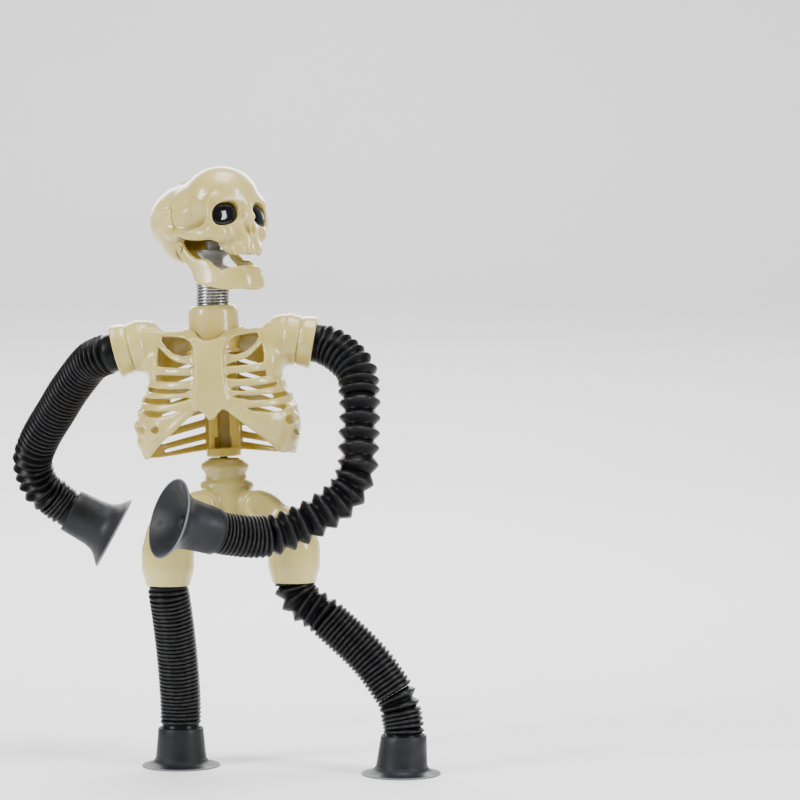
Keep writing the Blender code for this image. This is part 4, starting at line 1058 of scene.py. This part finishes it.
JAW_PLAN = [  # half of the jaw's arch seen from above, in x and y
    (16.2, 6.0), (16.2, 3.0), (16.0, -1.0), (15.2, -6.0), (13.6, -12.0), (10.9, -17.5), (8.2, -21.0),
    (5.0, -23.2), (0.0, -24.0),
]
JAW_SIDE = [  # outline of the jaw seen from the side, in y and z
    (2.0, 9.6), (4.6, 9.8), (6.2, 7.6), (5.4, 4.6), (3.6, 1.4), (0.6, -2.0), (-1.6, -5.4), (-2.4, -10.0),
    (-5.0, -12.8), (-11.2, -15.4), (-18.5, -18.1), (-30.0, -19.2), (-30.0, -7.7), (-20.0, -7.7),
    (-16.4, -8.0), (-13.6, -5.6), (-11.8, -2.9), (-10.0, -1.7), (-5.2, -0.3), (-2.2, 2.4), (-0.2, 5.2),
    (0.9, 8.0),
]


def build_jaw():
    place = head_matrix()
    g = Grid((-20.0, -29.5, -21.5), (20.0, 8.5, 12.0), 0.45)
    plan = flowing(JAW_PLAN, 4)
    near = line_gap(np.abs(g.x[:, :, 0]), g.y[:, :, 0], plan)[:, :, None]
    thick = np.interp(g.z, [-19, -13, -7.5, -2, 8], [1.5, 1.75, 1.35, 1.35, 1.3])
    wall = near - thick
    side = outline(g.y[0], g.z[0], JAW_SIDE, 0.0)[None]
    jaw = -melt(-wall, -side, 1.5)
    chin = blob(g, (0, -23.4, -14.6), (6.0, 2.4, 4.2))
    jaw = melt(jaw, chin, 2.5)
    crease = line_gap(g.y, g.z, [(-15.6, -9.0), (-19.0, -13.0), (-20.5, -17.5)])
    jaw = jaw + 0.25 * ridge(crease, 1.4)
    for sign in (-1, 1):
        jaw = carve(jaw, post(g, (sign * 10.0, JAW_PIN[1], JAW_PIN[2]), (sign, 0, 0), 1.15, 0.0, 12.0), 0.3)
    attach(bone("jaw_bone", "jaw", place, g, jaw, np.zeros(g.shape, np.float32)), "jaw_body")


def spring(part, low, high):
    """The coil's turns between two heights; the coil itself starts at SPRING_BASE."""
    first = round((low - SPRING_BASE) / SPRING_PITCH * COIL_STEPS)
    last = round((high - SPRING_BASE - 2 * SPRING_WIRE) / SPRING_PITCH * COIL_STEPS)
    steps = np.arange(first, last + 1, dtype=float)
    steps[-1] -= 0.35
    a = 2 * np.pi * steps / COIL_STEPS
    out = np.stack([np.cos(a), np.sin(a), 0 * a], axis=1)
    centre = np.array((HEAD_ORIGIN.x, HEAD_ORIGIN.y, SPRING_BASE + SPRING_WIRE)) + out * SPRING_RADIUS
    centre[:, 2] += steps / COIL_STEPS * SPRING_PITCH
    b = 2 * np.pi * np.arange(WIRE_SIDES) / WIRE_SIDES
    ring = out[:, None] * np.cos(b)[None, :, None] + np.array((0, 0, 1.0)) * np.sin(b)[None, :, None]
    points = (centre[:, None] + ring * SPRING_WIRE).reshape(-1, 3)
    faces = [tuple(f) for f in grid_faces(len(steps), WIRE_SIDES, False)]
    faces += [tuple(reversed(range(WIRE_SIDES))), tuple(range(len(points) - WIRE_SIDES, len(points)))]
    faces = outward_faces(points, faces)
    obj = make(f"neck_coil_{part}", f"neck_spring_{part}", "spring_steel", points, faces, None, 50)
    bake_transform(obj)


# --- pelvis


def build_pelvis():
    g = Grid((-44.0, -15.5, 84.0), (47.0, 25.0, 149.0), 0.5)
    body = blob(g, (-1.8, 12, 142.8), (11.4, 8.8, 5.0))
    body = melt(body, blob(g, (-1.4, 12, 139.0), (9.6, 8.2, 4.6)), 1.8)
    body = melt(body, blob(g, (-0.9, 12, 133.8), (12.8, 9.4, 5.2)), 1.8)
    sacrum = blob(g, (0.5, 9.5, 124.0), (10.5, 8.0, 13.0))
    sacrum = melt(sacrum, blob(g, (1.7, 2, 110.0), (20.0, 8.5, 6.8)), 4.0)
    body = melt(body, sacrum, 3.0)
    for hip, sign in ((RIGHT_HIP, -1), (LEFT_HIP, 1)):
        body = melt(body, blob(g, (1.2 + sign * 16.5, 3, 122.5), (12.5, 7.0, 8.6), (0, sign * 33, 0)), 3.0)
        body = melt(body, blob(g, (hip[0] - sign * 2.5, 1, 112.5), (13.8, 11.0, 9.5), (0, sign * 40, 0)), 4.0)
        bell = chain(g, [
            (hip[0], hip[1], hip[2] + 9.0, HIP_RADIUS + 0.1),
            (hip[0], hip[1], hip[2] + 15.0, HIP_RADIUS + 0.1),
            (hip[0] - sign * 1.5, 0, 112.0, HIP_RADIUS - 1.2),
        ])
        lip = post(g, hip, (0, 0, 1), HIP_RADIUS - 3.1, 0.0, 12.0) - 1.4
        body = melt(body, melt(bell, lip, 1.5), 3.0)
        body = carve(body, blob(g, (1.2 + sign * 15.5, -5.5, 124.5), (7.5, 3.4, 5.5), (0, sign * 33, 0)), 3.0)
    for i in range(3):
        x, drop = -0.6 + 0.4 * i, 8.0 * i
        body = melt(body, rod(g, (x, 17.0, 136.5 - drop, 1.9), (x, 21.4, 134.8 - drop, 1.2)), 2.0)
    for hip in (RIGHT_HIP, LEFT_HIP):
        body = carve(body, post(g, hip, (0, 0, 1), HIP_BORE, -12.0, SPIGOT + 0.8), 0.5)
        body = carve(body, post(g, hip, (0, 0, 1), 8.0, 0.0, 24.0), 0.5)
    level = np.where(g.x < 1.2, RIGHT_HIP[2], LEFT_HIP[2])
    body = np.maximum(body, level - g.z)
    body = np.maximum(body, g.z - (WAIST.z - WAIST_GAP))
    body = carve(body, post(g, (WAIST.x, WAIST.y, 141), (0, 0, 1), 2.2, -9.0, 9.0), 0.3)
    # painted shade inside the hip sockets
    painted_shade = np.zeros(g.shape, np.float32)
    for hip in (RIGHT_HIP, LEFT_HIP):
        bored = np.clip(HIP_BORE + 0.4 - np.hypot(g.x - hip[0], g.y - hip[1]), 0, 1)
        painted_shade = np.maximum(painted_shade, bored * (g.z < hip[2] + 25))
    plain = Matrix.Identity(4)
    for name, node, seam in (
        ("hips_front", "pelvis_front", g.y - PELVIS_SEAM), ("hips_back", "pelvis_back", PELVIS_SEAM - g.y),
    ):
        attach(bone(name, node, plain, g, np.maximum(body, seam + SHELL_GAP), painted_shade), "pelvis")
    pin = eased([(0, -7.5), (1.8, -7.5), (1.8, 3.6), (2.4, 3.8), (2.2, 4.3), (1.6, 4.6), (0, 4.7)], 0.3)
    points, faces = turned(pin, WAIST, (0, 0, 1), 40)
    # the waist rivet takes full painted shade, so it reads as lying in shadow
    obj = make("waist_rivet", "waist_pin", "bone_plastic", points, faces, {"inner": np.ones(len(points))}, 50)
    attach(obj, "pelvis")


# --- limbs


def tube_piece(limb, node, bodies, start, runs, plug, head):
    """bodies holds the one body to ride on; a tube with two bodies is attached to neither, and its transform
    is baked.
    """
    points, faces, crest = limb.tube(start, runs, plug, head)
    obj = make(node + "_tube", node, "black_tube_plastic", points, faces, {"crest": crest})
    if len(bodies) == 1:
        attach(obj, bodies[0])
    else:
        tuple(limb.place(start))
        tuple(limb.place(runs[-1][0]))
        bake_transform(obj)


ARM_HEAD = SPIGOT - 0.6 + 4.0
LEG_HEAD = SPIGOT - 0.4 + 1.0
ARM_PLUG = 13.0
LEG_PLUG = 12.5
TUBES = {  # limb: (piece, bodies, start, runs of (end, folds), plug, head), all lengths along the limb
    "right_arm": (
        ("arm_band", ("shoulder",), 4.0, [], 0, ARM_HEAD),
        ("shoulder_bellows", ("shoulder", "upper_arm"), 4.0, [(18.4, 6)], 0, 0),
        ("upper_arm_bellows", ("upper_arm", "forearm"), 18.4, [(78.9, 24)], 0, 0),
        ("elbow_bellows", ("forearm", "hand"), 78.9, [(113.2, 8)], 0, 0),
        ("wrist_tube", ("hand",), 113.2, [(123.0, 4)], ARM_PLUG, 0),
    ),
    "left_arm": (
        ("arm_band", ("shoulder",), 4.0, [], 0, ARM_HEAD),
        ("shoulder_bellows", ("shoulder", "upper_arm"), 4.0, [(22.0, 5), (39.5, 4)], 0, 0),
        ("upper_arm_bellows", ("upper_arm", "mid_arm"), 39.5, [(75.4, 5)], 0, 0),
        ("elbow_bellows", ("mid_arm", "forearm"), 75.4, [(109.9, 5)], 0, 0),
        ("forearm_bellows", ("forearm", "hand"), 109.9, [(129.0, 3), (147.3, 8)], 0, 0),
        ("wrist_tube", ("hand",), 147.3, [(155.0, 4)], ARM_PLUG, 0),
    ),
    "right_leg": (
        ("leg_band", ("pelvis",), 1.0, [], 0, LEG_HEAD),
        ("hip_bellows", ("pelvis", "thigh"), 1.0, [(19.0, 9)], 0, 0),
        ("leg_bellows", ("thigh", "shin"), 19.0, [(52.0, 17)], 0, 0),
        ("ankle_bellows", ("shin", "foot"), 52.0, [(66.0, 7)], 0, 0),
        ("ankle_tube", ("foot",), 66.0, [(68.3, 1)], LEG_PLUG, 0),
    ),
    "left_leg": (
        ("leg_band", ("pelvis",), 1.0, [], 0, LEG_HEAD),
        ("hip_bellows", ("pelvis", "thigh"), 1.0, [(24.8, 5)], 0, 0),
        ("leg_bellows", ("thigh", "shin"), 24.8, [(72.1, 21)], 0, 0),
        ("ankle_bellows", ("shin", "foot"), 72.1, [(80.5, 2), (89.0, 4)], 0, 0),
        ("ankle_tube", ("foot",), 89.0, [(91.8, 1)], LEG_PLUG, 0),
    ),
}


def build_limbs():
    turn = torso_matrix().to_3x3()
    limbs = {
        "right_arm": Limb(RIGHT_ARM, turn @ cuff_axis(-1)), "left_arm": Limb(LEFT_ARM, turn @ cuff_axis(1)),
        "right_leg": Limb(RIGHT_LEG, (0, 0, -1)), "left_leg": Limb(LEFT_LEG, (0, 0, -1)),
    }
    for name, pieces in TUBES.items():
        side = name.split("_")[0]
        for piece, bodies, *shape in pieces:
            bodies = [body if body == "pelvis" else f"{side}_{body}" for body in bodies]
            tube_piece(limbs[name], f"{side}_{piece}", bodies, *shape)


def build_cups():
    bowl = flowing([
        (0, 5.6), (1.5, 5.7), (2.5, 6.3), (3.1, 7.0), (4.6, 6.9), (7.6, 6.0), (11.5, 4.2), (15.0, 1.9),
        (17.6, 0.25),
    ], 5)
    rim = [(18.1, 0.0), (18.45, 0.05), (RIM_RADIUS, 0.3), (18.45, 0.65)]
    flare = flowing([
        (18.1, 0.95), (16.4, 2.5), (14.2, 4.6), (12.6, 7.0), (11.8, 9.6), (11.4, 13.0),
        (SLEEVE_TOP + 0.1, HAND_HEIGHT - 0.4),
    ], 5)
    mouth = eased([
        (SLEEVE_TOP + 0.1, HAND_HEIGHT - 0.4), (SLEEVE_TOP - 0.1, HAND_HEIGHT), (SLEEVE_BORE, HAND_HEIGHT),
        (SLEEVE_BORE, HAND_HEIGHT - SLEEVE_DEPTH), (0, HAND_HEIGHT - SLEEVE_DEPTH),
    ], 0.4)
    hand = bowl + rim + flare + [tuple(p) for p in mouth[1:]]
    for side, route in (("right", RIGHT_ARM), ("left", LEFT_ARM)):
        centre = Vector(route[-1])
        axis = (Vector(route[-2]) - centre).normalized()
        points, faces = turned(hand, centre, axis, 96)
        cup_piece(f"{side}_hand", points, faces, centre, axis)
    under = flowing([(0, 1.3), (6.0, 1.3), (12.5, 0.8), (15.2, 0.05)], 4)
    edge = [(15.6, 0.0), (18.2, 0.0), (RIM_RADIUS, 0.2), (RIM_RADIUS, 0.45), (18.3, 0.7)]
    bell = flowing([
        (17.4, 0.85), (15.4, 1.25), (13.6, 2.1), (12.4, 3.6), (11.9, 5.4),
        (SLEEVE_TOP + 0.05, FOOT_HEIGHT - 0.4),
    ], 5)
    top = eased([
        (SLEEVE_TOP + 0.05, FOOT_HEIGHT - 0.4), (SLEEVE_TOP - 0.15, FOOT_HEIGHT), (SLEEVE_BORE, FOOT_HEIGHT),
        (SLEEVE_BORE, FOOT_HEIGHT - SLEEVE_DEPTH + 0.6), (0, FOOT_HEIGHT - SLEEVE_DEPTH + 0.6),
    ], 0.4)
    foot = under + edge + bell + [tuple(p) for p in top[1:]]
    for side, centre, route in (("right", RIGHT_FOOT, RIGHT_LEG), ("left", LEFT_FOOT, LEFT_LEG)):
        lean = (Vector(route[-2]) - centre) / FOOT_HEIGHT
        lean.z = 0
        points, faces = turned(foot, centre, (0, 0, 1), 96, lean=lean)
        cup_piece(f"{side}_foot", points, faces, centre, Vector((0, 0, 1)))


def cup_piece(body, points, faces, centre, axis):
    """A rubber cup on a hand or a foot; its thin edge takes a paler colour, painted light showing through it.
    """
    offset = points - np.array(centre)
    along = offset @ np.array(axis)
    out = np.linalg.norm(offset - along[:, None] * np.array(axis), axis=1)
    # rim: where the paler colour of painted light through the thin edge goes
    rim = np.clip((out - (RIM_RADIUS - 0.75)) / 0.5, 0, 1)
    obj = make(f"{body}_sucker", f"{body}_cup", "grey_rubber", points, faces, {"rim": rim}, 60)
    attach(obj, body)


# --- studio


def aimed(name, data, at, target):
    """An object for a lamp or a camera, turned towards its target."""
    obj = bpy.data.objects.new(name, data)
    obj.location = at
    obj.rotation_euler = (Vector(target) - Vector(at)).to_track_quat("-Z", "Y").to_euler()
    bpy.context.scene.collection.objects.link(obj)
    return obj


def build_studio():
    floor = bpy.data.meshes.new("floor")
    rings = [(x, y, z) for x in (-3.0, 3.0) for y, z in (
        (-3.0, 0), (0.55, 0), (0.75, 0.02), (0.92, 0.08), (1.04, 0.2), (1.1, 0.38), (1.12, 3.0))]
    faces = [(i, i + 1, i + 8, i + 7) for i in range(6)]
    floor.from_pydata(rings, [], faces)
    floor.shade_smooth()
    obj = bpy.data.objects.new("studio_floor", floor)
    bpy.context.scene.collection.objects.link(obj)
    paper = Finish("studio_paper", Roughness=0.9)
    paper.set("Base Color", paper.mottled(3.0, (0.90, 0.90, 0.90), (0.93, 0.93, 0.93)))
    floor.materials.append(paper.material)

    world = bpy.data.worlds.new("studio_air")
    world.use_nodes = True
    world.node_tree.nodes["Background"].inputs["Color"].default_value = (1.0, 1.0, 1.0, 1)
    world.node_tree.nodes["Background"].inputs["Strength"].default_value = 0.26
    bpy.context.scene.world = world

    for name, at, size, power in (
        ("key_light", (-0.85, -0.55, 0.62), (0.22, 0.60), 15.0),
        ("fill_light", (0.90, -0.50, 0.55), (0.22, 0.60), 12.0),
        ("top_light", (0.1, 0.0, 1.15), (0.7, 0.5), 13.0),
        ("back_light", (0.0, 0.85, 0.60), (1.2, 0.5), 14.0),
    ):
        lamp = bpy.data.lights.new(name, "AREA")
        lamp.shape = "RECTANGLE"
        lamp.size, lamp.size_y = size
        lamp.energy = power
        aimed(name, lamp, at, (0, 0, 0.15))

    camera = bpy.data.cameras.new("camera")
    camera.lens = 124.5
    camera.sensor_width = 36.0
    at, target = placed([(81.3, -1300.0, 215.0), (81.3, 0.0, 174.6)])
    bpy.context.scene.camera = aimed("camera", camera, at, target)


build_studio()
build_torso()
build_shoulders()
build_head()
build_jaw()
spring("lower", SPRING_BASE, SPRING_MIDDLE + 2 * SPRING_WIRE)
spring("upper", SPRING_MIDDLE, SPRING_TOP)
build_pelvis()
build_limbs()
build_cups()
